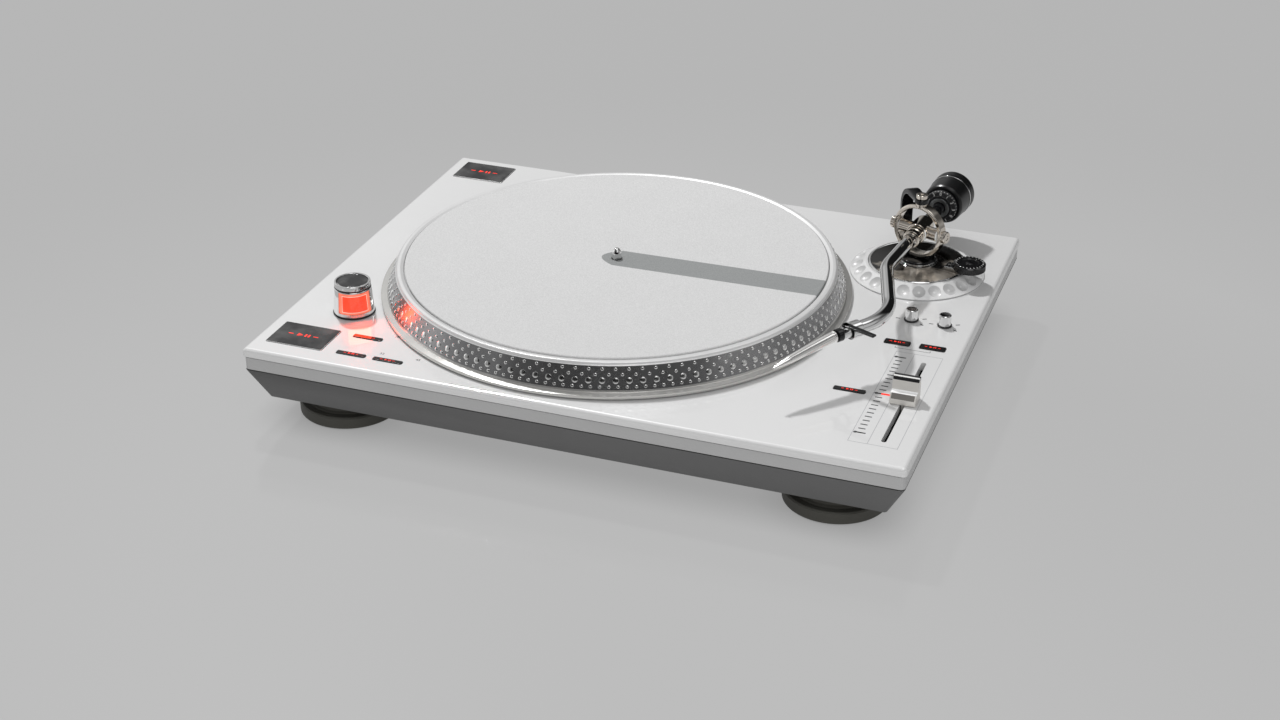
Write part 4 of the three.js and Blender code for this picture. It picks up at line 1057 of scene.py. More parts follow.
# Lit red acrylic and its paler frame
RED_LENS = Lamp("lit_red_acrylic", "#a02010", 0.25, coat=0.5, glow="#ff5236", strength=0.88)
PALE_LENS = Lamp("pale_red_acrylic", "#a04030", 0.25, coat=0.5, glow="#ff8468", strength=0.82)
LENS_LINE = Lamp("lens_line", "#c09080", 0.3, glow="#ffd0c0", strength=0.8)
RED_MARK = Lamp("red_indicator", "#80100a", 0.3, glow="#ff2a10", strength=1.35)


def hand_over(
    piece: Piece,
    finish: Finish,
    body: str,
    slot: str,
    *nodes: str,
    angle: float = 35.0,
    place: Matrix = UPRIGHT,
) -> Piece:
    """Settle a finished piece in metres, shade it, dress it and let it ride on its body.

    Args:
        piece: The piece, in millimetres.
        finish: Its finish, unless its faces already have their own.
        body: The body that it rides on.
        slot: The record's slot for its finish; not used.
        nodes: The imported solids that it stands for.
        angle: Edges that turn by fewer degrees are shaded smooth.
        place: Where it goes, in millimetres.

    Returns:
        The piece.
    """
    piece.data.transform(Matrix.Scale(MM, 4) @ place)
    hold(piece)
    bpy.ops.object.shade_smooth_by_angle(angle=radians(angle))
    modify(piece, "WEIGHTED_NORMAL", keep_sharp=True)
    if len(piece.data.materials) < 2:
        piece.data.materials.clear()
        piece.data.materials.append(finish.material())
    piece.data.name = piece.name
    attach(piece, body)
    if nodes:
        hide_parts(*nodes)
    log.info("%s: %d faces", piece.name, len(piece.data.polygons))
    return piece


def painted(piece: Piece, finishes: Sequence[Finish], choose: Test) -> None:
    """Give a piece several finishes, the second and later ones by a test that gives a number.

    Args:
        piece: The piece.
        finishes: The finishes, in order.
        choose: Gives the number of the finish for a face's middle and normal.
    """
    piece.data.materials.clear()
    for finish in finishes:
        piece.data.materials.append(finish.material())
    for face in piece.data.polygons:
        face.material_index = int(choose(face.center, face.normal))


def dress_node(node: str, finish: Finish) -> None:
    """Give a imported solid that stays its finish."""
    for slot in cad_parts[node].material_slots:
        slot.material = finish.material()


# The sub-assemblies


@dataclass
class Case:
    """The deck, the grey band under it, the dark tub and the four feet."""

    width: float = 458.0
    depth: float = 356.0
    top: float = DECK_TOP
    thickness: float = 6.0
    corner: float = 3.1
    edge: float = 2.9
    opening_edge: float = 0.35
    foot_x: float = 174.3
    foot_y: float = 131.7

    def build(self) -> None:
        """Build and dress the whole case."""
        self.deck()
        band = refined("grey_band", "mid_frame", 0.0, corner=3.4)
        with shaping(band):
            pick(band, Kind.VERT, lambda place, normal: place.z < 42.2)
            bpy.ops.transform.translate(value=(0, 0, 0.5))
        soften(band, 0.45)
        hand_over(band, GREY_COAT, "chassis", "frame_paint", "mid_frame")
        tub = refined("dark_tub", "base_tub", 0.5, corner=2.2)
        hand_over(tub, DARK_ABS, "chassis", "base_moulding", "base_tub")
        for row, back in (("front", -1), ("rear", 1)):
            for side, right in (("left", -1), ("right", 1)):
                self.foot(f"{row}_{side}", right * self.foot_x, back * self.foot_y)

    def deck(self) -> None:
        """Build the deck plate with its openings and the guide of the arm's column."""
        centre = (0, 0, self.top - self.thickness / 2)
        deck = slab("deck", (self.width, self.depth, self.thickness), centre, self.corner, steps=10)
        with shaping(deck, Kind.EDGE):
            high = self.top - 0.01
            pick(deck, Kind.EDGE, lambda middle, along: middle.z > high)
            bpy.ops.mesh.bevel(offset=self.edge, segments=7, affect="EDGES")
        cutters = [
            self.hole(70.0, *PLATTER_CENTRE, sides=96),
            self.hole(37.6, *ARM_PIVOT, sides=96),
            self.hole(10.6, *STROBE_CENTRE, sides=48),
            *(self.hole(3.4, *centre, sides=32) for centre in KNOB_CENTRES),
            self.pocket(3.3, 109.9, *FADER_CENTRE, gap=0.0),
            *(self.pocket(*button) for button in BUTTONS.values()),
        ]
        carved(deck, *cutters)
        soften(deck, self.opening_edge, angle=50)
        low = DECK_UNDERSIDE
        outline = [
            (30.3, low - 15), (34.3, low - 15), (34.3, low - 2.4), (46.0, low - 2.4),
            (46.0, low + 0.3), (37.9, low + 0.3), (37.9, low), (30.3, low),
        ]
        guide = turned("guide", outline, 96, bored=True)
        deck = joined(deck, placed(guide, at(*ARM_PIVOT)))
        hand_over(deck, LACQUER, "chassis", "deck_lacquer", "top_deck", angle=30)

    def hole(self, radius: float, x: float, y: float, sides: int) -> Piece:
        """Give a cutter for a round hole through the deck."""
        cutter = turned("hole", [(radius, self.top - 10), (radius, self.top + 4)], sides, ease=0)
        return placed(cutter, at(x, y))

    def pocket(self, width: float, depth: float, x: float, y: float, gap: float = 0.6) -> Piece:
        """Give a cutter for an opening that a plate of this size moves in."""
        size = (width + gap, depth + gap, 14.0)
        return slab("pocket", size, (x, y, self.top - 3), corner=1.5, steps=5)

    def foot(self, name: str, x: float, y: float) -> None:
        """Build one foot: a disc with a raised neck under its screw.

        Args:
            name: Its corner, as its solid is named.
            x: The middle along X.
            y: The middle along Y.
        """
        outline = [
            (30.5, 0.0), (34.9, 1.2), (34.9, 8.4), (33.9, 9.5), (29.4, 9.5), (28.6, 10.0),
            (27.0, 10.6), (27.0, 18.7), (4.0, 18.7), (4.0, 30.0),
        ]
        foot = turned(f"foot_pad_{name}", outline, 96, ease=0.8)
        hand_over(foot, RUBBER, f"foot_{name}_body", "foot_rubber", f"foot_{name}", place=at(x, y))


@dataclass
class Platter:
    """The platter with its dots, the felt mat on it and the spindle through both."""

    lip: float = 167.0
    band_low: float = 162.4
    band_high: float = 156.2
    band_foot: float = 5.2
    band_head: float = 19.8
    deck: float = DECK_TOP
    # The height, the radius, the number and the shift of the dots in each row
    rows: tuple[tuple[float, float, int, float], ...] = (
        (17.9, 1.1, 114, 0.0),
        (14.6, 1.1, 114, 0.5),
        (11.0, 2.05, 114, 0.0),
        (7.2, 1.1, 171, 0.25),
    )

    def build(self) -> None:
        """Build and dress the platter, its dots, the mat and the spindle."""
        z = self.deck
        outline = [
            (159.7, z + 1.0), (self.lip, z + 1.0), (self.lip, z + 3.2), (162.6, z + 3.9), (162.2, z + 5.2),
            (156.2, z + 19.8), (155.4, z + 20.3), (155.2, z + 21.4), (154.5, z + 21.8), (152.6, z + 21.8),
            (150.3, z + 21.2), (150.0, z + 19.8), (3.6, z + 19.8), (3.6, z + 13.8), (13.0, z + 13.8),
            (13.0, z + 15.8), (149.2, z + 15.8), (158.6, z + 3.0),
        ]
        platter = turned("platter_dish", outline, 256, ease=0.5, steps=3, bored=True)
        placed(platter, at(*PLATTER_CENTRE))
        painted(platter, (TURNED_BAND, POLISHED_LIP, POLISHED_RIM), self.finish_at)
        dish = hand_over(platter, TURNED_BAND, "platter_body", "platter_metal", "platter", angle=25)
        self.dots()
        self.mat(dish)
        self.spindle()

    def finish_at(self, middle: Vector, normal: Vector) -> int:
        """Choose the polished finishes for the lip and the top ring.

        Args:
            middle: The face's middle.
            normal: The face's normal; not used.

        Returns:
            The number of the face's finish.
        """
        height = middle.z - self.deck
        radius = (middle.xy - Vector(PLATTER_CENTRE)).length
        if height < 5.3 and radius > 159:
            return 1
        return 2 if height > 19.5 else 0

    def dots(self) -> None:
        """Build the four rows of dots on the band, each dot a low disc."""
        lean = math.atan2(self.band_low - self.band_high, self.band_head - self.band_foot)
        rows = []
        for height, radius, count, shift in self.rows:
            share = (height - self.band_foot) / (self.band_head - self.band_foot)
            reach = self.band_low + (self.band_high - self.band_low) * share
            outline = [(radius, -0.25), (radius, 0.06), (radius * 0.86, 0.22), (radius * 0.5, 0.36)]
            seat = at(reach, 0) @ Matrix.Rotation(math.pi / 2 - lean, 4, "Y")
            base = at(*PLATTER_CENTRE, self.deck + height)
            rows.append(ringed(turned("dot", outline, 12, ease=0), count, seat, base, shift))
        dots = joined(*rows, name="platter_dots")
        hand_over(dots, BRIGHT_DOT, "platter_body", "platter_metal")

    def mat(self, dish: Piece) -> None:
        """Build the felt mat, which lies on the platter.

        Args:
            dish: The platter, which the mat lies on; not used.
        """
        outline = [(149.6, 78.1), (149.6, 80.3), (3.9, 80.3), (3.9, 78.1)]
        mat = turned("felt_mat", outline, 192, ease=0.9, steps=4, bored=True)
        hand_over(mat, WOOL_FELT, "slipmat_body", "mat_felt", "slipmat", place=at(*PLATTER_CENTRE))

    def spindle(self) -> None:
        """Build the spindle with its shoulder and its rounded tip."""
        outline = [
            (3.3, 30.0), (3.3, 67.0), (12.0, 67.0), (12.0, 70.0), (3.3, 70.3),
            (3.3, 84.4), (2.9, 85.8), (2.0, 87.2), (1.2, 88.0),
        ]
        spindle = turned("spindle_pin", outline, 48, ease=0.5)
        hand_over(spindle, CHROME, "platter_body", "chrome", "spindle", place=at(*PLATTER_CENTRE))


@dataclass
class StrobeTower:
    """The round tower beside the platter, with its lit window and the power dial."""

    base: float = 14.2
    head: float = 12.5
    height: float = 24.0
    foot: float = 1.4
    window_turn: float = -58.0
    deck: float = DECK_TOP

    def radius(self, height: float) -> float:
        """Give the tower's outer radius at a height over the deck."""
        return self.base - (self.base - self.head) * (height - self.foot) / (self.height - self.foot)

    def build(self) -> None:
        """Build and dress the gasket, the tower, the window and the dial."""
        place = at(*STROBE_CENTRE, self.deck)
        gasket = turned("tower_gasket", section(11.6, 14.7, 0.3, 1.1), 72, bored=True)
        hand_over(gasket, BLACK_NYLON, "chassis", "black_satin", "strobe_gasket", place=place)
        outline = [
            (self.radius(1.4), 1.4), (self.radius(19.5), 19.5), (self.radius(20.1) - 0.35, 19.8),
            (self.radius(20.8) - 0.35, 20.8), (self.radius(21.1), 21.1), (self.radius(24), 24.0),
            (11.1, 24.0), (11.1, 21.0), (2.7, 21.0), (2.7, 19.4),
            (self.radius(19.4) - 1.6, 19.4), (self.radius(1.4) - 1.6, 1.4),
        ]
        tower = turned("tower", outline, 120, ease=0.35, bored=True)
        carved(tower, self.wedge(108, 3.7, 19.0))
        painted(
            tower,
            (CHROME, BLACK_NYLON),
            lambda middle, normal: 19.7 < middle.z < 21.0 and middle.xy.length > 12,
        )
        hand_over(tower, CHROME, "chassis", "chrome", "strobe_tower", angle=30, place=place)
        self.window(place)
        self.dial(place)

    def wedge(self, span: float, low: float, high: float) -> Piece:
        """Give a cutter for the window, a wedge of the given span in degrees.

        Args:
            span: The window's width, in degrees.
            low: Its lower edge.
            high: Its upper edge.

        Returns:
            The cutter.
        """
        rim = arc(0, 0, 18.0, -span / 2, span / 2)
        cutter = prism("wedge", [(0.0, 0.0), *rim], high - low)
        placed(cutter, rolled(self.window_turn) @ at(0, 0, (low + high) / 2) @ rolled(90, "X"))
        with shaping(cutter, Kind.FACE):
            face_out()
        return cutter

    def window(self, place: Matrix) -> None:
        """Build the window with a pale border, a thin line and a red middle.

        Args:
            place: The middle of the part's foot on the deck.
        """
        low, high = 4.0, 18.7
        outside = [(self.radius(height) - 0.3, height) for height in (low, high)]
        inside = [(self.radius(height) - 1.6, height) for height in (high, low)]
        lens = turned("window_lens", [*outside, *inside], 180, ease=0.0, bored=True)
        placed(lens, rolled(-self.window_turn))
        turns = tuple(radians(turn) for turn in (52.0, 41.5, 40.0))
        with shaping(lens, Kind.FACE):
            for turn in turns:
                last = turn == turns[0]
                for side in (1, -1):
                    take_all()
                    normal = (-math.sin(turn), side * math.cos(turn), 0)
                    bpy.ops.mesh.bisect(plane_co=(0, 0, 0), plane_no=normal, use_fill=last, clear_outer=last)
            for height in (5.1, 5.45, 16.9, 17.25):
                take_all()
                bpy.ops.mesh.bisect(plane_co=(0, 0, height), plane_no=(0, 0, 1))

        def zone(middle: Vector, normal: Vector) -> int:
            """Tell the red middle, the pale border and the thin line between them apart.

            Args:
                middle: The face's middle.
                normal: The face's normal; not used.

            Returns:
                The number of the face's finish.
            """
            turn = abs(math.atan2(middle.y, middle.x))
            if turn < turns[2] and 5.45 < middle.z < 16.9:
                return 0
            return 2 if turn < turns[1] and 5.1 < middle.z < 17.25 else 1

        painted(lens, (RED_LENS, PALE_LENS, LENS_LINE), zone)
        placed(lens, rolled(self.window_turn))
        hand_over(lens, RED_LENS, "chassis", "lens_red", "strobe_window", angle=30, place=place)

    def dial(self, place: Matrix) -> None:
        """Build the dial on top, a dark mirror with a bright edge.

        Args:
            place: The middle of the part's foot on the deck.
        """
        outline = [
            (2.4, -8.5), (2.4, 21.3), (10.8, 21.3), (10.8, 23.5), (10.5, 23.8), (10.2, 23.8), (10.1, 23.7),
        ]
        dial = turned("power_cap", outline, 96, ease=0.25)
        painted(dial, (CLOUDED_MIRROR, CHROME), lambda middle, normal: middle.xy.length > 10.6)
        hand_over(dial, BLACK_MIRROR, "power_dial_body", "black_gloss", "power_dial", angle=30, place=place)


@dataclass
class Controls:
    """The plates, buttons, knobs, the fader and what is printed round them."""

    deck: float = DECK_TOP
    rise: float = 0.6

    def build(self) -> None:
        """Build and dress every control."""
        for name, (width, depth, x, y) in BUTTONS.items():
            self.button(name, width, depth, x, y)
        self.knob("start_knob", *KNOB_CENTRES[0], DARK_CHROME)
        self.knob("brake_knob", *KNOB_CENTRES[1], BLACK_MIRROR)
        self.fader()
        self.prints()

    def button(self, name: str, width: float, depth: float, x: float, y: float) -> None:
        """Build one plate or button with the flange that holds it and its lit mark.

        Args:
            name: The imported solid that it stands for.
            width: Its size along X.
            depth: Its size along Y.
            x: The middle along X.
            y: The middle along Y.
        """
        large = width > 40
        thick = 1.4
        top, low = self.deck + self.rise, DECK_UNDERSIDE - 0.3 - thick
        size, centre = (width, depth, top - low), (x, y, (top + low) / 2)
        cap = slab("cap", size, centre, corner=0.8, ease=0.5 if large else 0.25, steps=3)
        size, centre = (width + 2.6, depth + 2.6, thick), (x, y, low + thick / 2)
        flange = slab("flange", size, centre, corner=1.0, ease=0.2)
        piece = joined(cap, flange, name=f"{name}_cap")
        # On the large plates the bevel faces carry a painted highlight in near white
        finishes = (CLOUDED_MIRROR, PLATE_EDGE_HIGHLIGHT) if large else (BLACK_GLASS, BLACK_GLASS)
        high = self.deck - 1
        painted(piece, finishes, lambda middle, normal: middle.z > high and 0.2 < abs(normal.z) < 0.9)
        hand_over(piece, BLACK_MIRROR, f"{name}_body", "black_gloss", name)
        mark = self.icon(top + 0.05, 1.25 if large else 0.6)
        mark.name = f"{name}_mark"
        placed(mark, at(x, y))
        hand_over(mark, RED_MARK, f"{name}_body", "lens_red")

    def icon(self, height: float, size: float) -> Piece:
        """Draw the lit mark of a button: an arrow, two bars and two dashes.

        Args:
            height: The height of the mark.
            size: Its size, where one is the size on the large plates.

        Returns:
            The mark as a thin mesh, centred on the Z axis.
        """
        parts = [slab("bar", (1.0, 3.4, 0.08), (x, 0, height), corner=0.2) for x in (1.4, 3.4)]
        parts += [slab("dash", (3.0, 0.8, 0.08), (x, 0, height), corner=0.3) for x in (-7.6, 7.4)]
        rest()
        bpy.ops.mesh.primitive_cylinder_add(vertices=3, radius=2.2, depth=0.08, location=(-2.4, 0, height))
        arrow = placed(named("arrow"), at(-2.4, 0, 0, -90) @ at(2.4, 0))
        mark = joined(arrow, *parts)
        return placed(mark, Matrix.Diagonal((size, 0.8 * size, 1.0, 1.0)))

    def knob(self, name: str, x: float, y: float, cap: Finish) -> None:
        """Build one small knob on its black foot.

        Args:
            name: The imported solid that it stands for.
            x: The middle along X.
            y: The middle along Y.
            cap: The finish of its top.
        """
        outline = [(2.0, -4.2), (2.0, 1.1), (4.3, 1.1), (4.3, 8.3), (3.8, 8.8), (3.3, 8.8), (3.15, 8.6)]
        piece = turned(f"{name}_turn", outline, 64, ease=0.2)
        painted(piece, (CHROME, cap), lambda middle, normal: middle.z > 8.5 and middle.xy.length < 3.3)
        hand_over(piece, CHROME, f"{name}_body", "chrome", name, place=at(x, y, self.deck))
        foot = turned(f"{name}_foot", section(2.3, 5.1, 0.3, 1.1), 64, bored=True)
        hand_over(foot, BLACK_NYLON, f"{name}_body", "black_satin", place=at(x, y, self.deck))

    def fader(self) -> None:
        """Build the fader's stepped cap, its stem and the lines across its grip."""
        half = 7.0
        side = [
            (-half, 0.3), (-half, 4.3), (-0.64 * half, 7.6), (-0.24 * half, 7.6),
            (0.16 * half, 16.4), (0.88 * half, 16.4), (half, 7.6), (half, 0.3),
        ]
        cap = prism("cap", eased(side, 0.6, 4, True), 17.2, ease=0.5)
        placed(cap, rolled(90))
        with shaping(cap):
            for axis, cut in ((2, 14.4), (2, 8.5), (1, 1.7), (1, 3.5), (1, -4.35), (0, -7.6), (0, 7.6)):
                normal = Vector([float(step == axis) for step in range(3)])
                take_all()
                bpy.ops.mesh.bisect(plane_co=normal * cut, plane_no=normal)
        stem = slab("stem", (2.4, 8.0, 15.5), (0, 0, -7.0), ease=0.2)
        piece = joined(cap, stem, name="fader_cap")

        def zone(middle: Vector, normal: Vector) -> int:
            """Choose the line on the grip, its pad, the painted highlight along the ridge below and the slate
            step.

            Args:
                middle: The face's middle.
                normal: The face's normal.

            Returns:
                The number of the face's finish.
            """
            if middle.z > 14.4:
                return 2 if 1.7 < middle.y < 3.5 else 3
            if 7.4 < middle.z < 8.5 and middle.y < 0 and normal.y < -0.2 + normal.z:
                return 4
            return 1 if normal.z > 0.3 and middle.y < -4.35 and abs(middle.x) < 7.6 else 0

        painted(piece, (SATIN_SILVER, SLATE, WHITE_INK, BLACK_NYLON, RIDGE_HIGHLIGHT), zone)
        place = at(*FADER_CENTRE, self.deck)
        hand_over(piece, SATIN_SILVER, "pitch_fader_body", "chrome", "pitch_fader", place=place)

    def prints(self) -> None:
        """Build the printed scale, its frame, the numbers and the small marks."""
        z = self.deck + 0.03
        thin = 0.05
        ticks = arrayed(slab("scale_ticks", (4.6, 1.1, thin), (190.6, -144.1, z)), 21, (0, 5.275, 0))
        major = arrayed(slab("major_ticks", (6.4, 1.2, thin), (191.2, -144.1, z)), 3, (0, 52.75, 0))
        frame_lines = [
            *(slab("line", (0.35, 125.0, thin), (x, -93.5, z)) for x in (186.0, 217.6, 198.4)),
            *(slab("line", (31.95, 0.35, thin), (201.8, y, z)) for y in (-156.0, -31.0)),
        ]
        knob_ticks = [
            placed(slab("tick", (0.9, 3.0, thin), (0, 9.4, z)), at(*centre, 0, turn))
            for centre in KNOB_CENTRES
            for turn in (-62, -118, 90)
        ]
        bracket = [
            slab("line", (24.3, 0.3, thin), (195.6, -26.0, z)),
            *(slab("line", (0.3, 2.2, thin), (x, -24.9, z)) for x in (183.6, 207.6)),
        ]
        for y in (-144.1, -91.35, -38.6):
            spot = turned("spot", [(1.2, -thin / 2), (1.2, thin / 2)], 24, ease=0)
            bracket.append(placed(spot, at(187.6, y, z)))
        marks = joined(ticks, major, *knob_ticks, *bracket, name="deck_print")
        hand_over(marks, INK, "chassis", "black_satin")
        border = joined(*frame_lines, name="scale_border")
        hand_over(border, PALE_INK, "chassis", "black_satin")
        words = (("33", -136.4, -152.2), ("45", -109.8, -152.2), ("78", -137.4, -127.2))
        printed = [placed(number(word, 3.4), at(x, y, z)) for word, x, y in words]
        text = joined(*printed, name="deck_numbers")
        hand_over(text, INK, "chassis", "black_satin")
        lamp = slab("scale_lamp", (6.4, 1.9, 0.06), (194.2, -91.4, z + 0.03), corner=0.5)
        hand_over(lamp, RED_MARK, "chassis", "lens_red")


@dataclass
class ArmStand:
    """The height ring, the base plate, the anti-skate dial and the arch."""

    deck: float = DECK_TOP
    dimples: int = 24

    def build(self) -> None:
        """Build and dress the stand."""
        place = at(*ARM_PIVOT, self.deck)
        self.ring(place)
        self.base(place)
        self.skate(place)
        self.arch(place)

    def ring(self, place: Matrix) -> None:
        """Build the cone of the height ring with its finger dimples, and the painted shadow line round its
        foot.

        Args:
            place: The middle of the part's foot on the deck.
        """
        outline = [
            (35.6, -6.2), (37.9, -6.2), (37.9, 0.3), (48.3, 0.3), (48.3, 1.0), (37.6, 7.9), (35.6, 7.9),
        ]
        ring = turned("height_cone", outline, 192, ease=0.35, bored=True)
        slope = math.atan2(6.9, 10.7)
        ball, rim = 9.0, 4.85
        turns = [math.asin((rim + 0.2) / ball) * step / 6 for step in range(1, 7)]
        cap = [(ball * math.sin(turn), -ball * math.cos(turn)) for turn in turns]
        cutter = turned("dimple", [*cap, (cap[-1][0], 2.0 - ball)], 32, ease=0)
        placed(cutter, at(0, 0, math.sqrt(ball**2 - rim**2)))
        seat = at(42.8, 0, 4.55) @ Matrix.Rotation(slope, 4, "Y")
        carved(ring, ringed(cutter, self.dimples, seat))

        def dimple(middle: Vector, normal: Vector) -> bool:
            """Tell a dimple's faces from the cone's flank.

            Args:
                middle: The face's middle.
                normal: The face's normal.

            Returns:
                Whether it belongs to a dimple.
            """
            out = Vector((middle.x, middle.y, 0)).normalized()
            flank = out * math.sin(slope) + Vector((0, 0, math.cos(slope)))
            return 1.2 < middle.z < 7.6 and middle.xy.length > 38.0 and normal.angle(flank) > radians(3.5)

        # The dimple faces take the darker lacquer, a painted shade in the hollows
        painted(ring, (RING_LACQUER, DIMPLE_SHADE_LACQUER), dimple)
        body = "height_ring_body"
        hand_over(ring, RING_LACQUER, body, "deck_lacquer", "height_ring", angle=13, place=place)
        # A thin grey ring on the deck round the cone's foot: a painted shadow line
        line = turned("ring_shadow_line", section(47.7, 48.35, 0.05, 0.28), 128, ease=0, bored=True)
        hand_over(line, GREY_COAT, "chassis", "black_satin", place=place)

    def base(self, place: Matrix) -> None:
        """Build the base plate on its column and the bracket of the dial.

        Args:
            place: The middle of the part's foot on the deck.
        """
        outline = [
            (26.0, 4.6), (26.0, -20.0), (30.0, -20.0), (30.0, 4.9), (35.3, 4.9), (35.3, 7.6), (34.7, 8.2),
            (33.8, 8.25), (33.4, 8.0), (14.4, 9.2), (14.0, 9.4),
        ]
        plate = turned("arm_plate", outline, 160, ease=0.25)
        painted(plate, (REFLECTION_PAINTED_MIRROR, CHROME), lambda middle, normal: not 14.1 <= middle.xy.length <= 33.3)
        bar = slab("bar", (17.6, 9.0, 2.4), (30.8, 0, 10.0), ease=0.5)
        end = turned("end", [(4.5, 8.8), (4.5, 11.2)], 48, ease=0.5)
        post = turned("post", [(2.6, 9.2), (2.6, 15.0)], 32, ease=0.3)
        bracket = joined(bar, placed(joined(end, post), at(39.6, 0)), name="dial_bracket")
        hand_over(plate, REFLECTION_PAINTED_MIRROR, "arm_base_body", "chrome", "arm_base", angle=30, place=place)
        hand_over(bracket, CHROME, "arm_base_body", "chrome", place=at(0, 0, 0, -10.2, place))

    def skate(self, place: Matrix) -> None:
        """Build the knurled anti-skate dial with the ticks on its top.

        Args:
            place: The middle of the part's foot on the deck.
        """
        sides = 120
        outline = [(11.5, 0.0), (11.5, 4.2), (10.4, 5.0), (6.6, 5.0), (6.2, 4.6), (2.8, 4.6), (2.4, 5.0)]
        dial = knurled(turned("skate_dial", outline, sides, ease=0.25), sides, 0.2, 4.0, 0.6)
        seat = at(38.974, -7.013, 11.5, 0, place)
        hand_over(dial, BLACK_LACQUER, "anti_skate_body", "black_satin", "anti_skate_dial", place=seat)
        ticks = ringed(slab("skate_ticks", (1.1, 0.4, 0.06), (9.6, 0, 5.0)), 24, UPRIGHT)
        hand_over(ticks, WHITE_INK, "anti_skate_body", "arm_silver", place=seat)

    def arch(self, place: Matrix) -> None:
        """Build the arch with its collar, its eye and the pivot screw.

        Args:
            place: The middle of the part's foot on the deck.
        """
        low, high, reach, wall = 9.7, 57.3, 32.5, 4.0
        bend, foot_bend = 16.5, 5.5
        outline = [
            (0.0, low),
            *arc(reach - foot_bend, low + foot_bend, foot_bend, -90, 0, 6),
            *arc(reach - bend, high - bend, bend, 0, 90),
            (0.0, high),
            (0.0, high - 3.0),
            *arc(reach - bend, high - bend, bend - wall, 90, 0),
            *arc(reach - foot_bend, low + foot_bend - 0.7, foot_bend - wall, 0, -90, 4),
            (0.0, 12.2),
        ]
        strap = prism("strap", outline, 9.0, ease=0.9)
        placed(strap, rolled(122))
        outline = [(1.8, 9.7), (12.5, 9.7), (12.5, 11.6), (11.9, 12.2), (1.8, 12.2)]
        collar = turned("collar", outline, 96, ease=0.3, bored=True)
        eye = turned("eye", section(2.3, 5.0, 54.3, 57.3), 64, ease=0.4, bored=True)
        arch = joined(strap, collar, eye, name="arm_arch")
        hand_over(arch, BLACK_LACQUER, "arm_base_body", "black_gloss", "arm_yoke", angle=30, place=place)
        ring = turned("collar_ring", section(12.4, 13.4, 9.8, 10.9), 96, ease=0.25, bored=True)
        hand_over(ring, CHROME, "arm_base_body", "chrome", place=place)
        outline = [(2.0, 53.3), (2.0, 57.6), (4.0, 57.6), (4.0, 60.2), (3.6, 60.6), (1.2, 60.6), (1.0, 60.0)]
        screw = turned("pivot_screw", outline, 60, ease=0.2)
        knurled(screw, 60, 57.8, 60.0, 0.2)
        hand_over(screw, WARM_CHROME, "arm_base_body", "chrome", "top_pivot", angle=30, place=place)


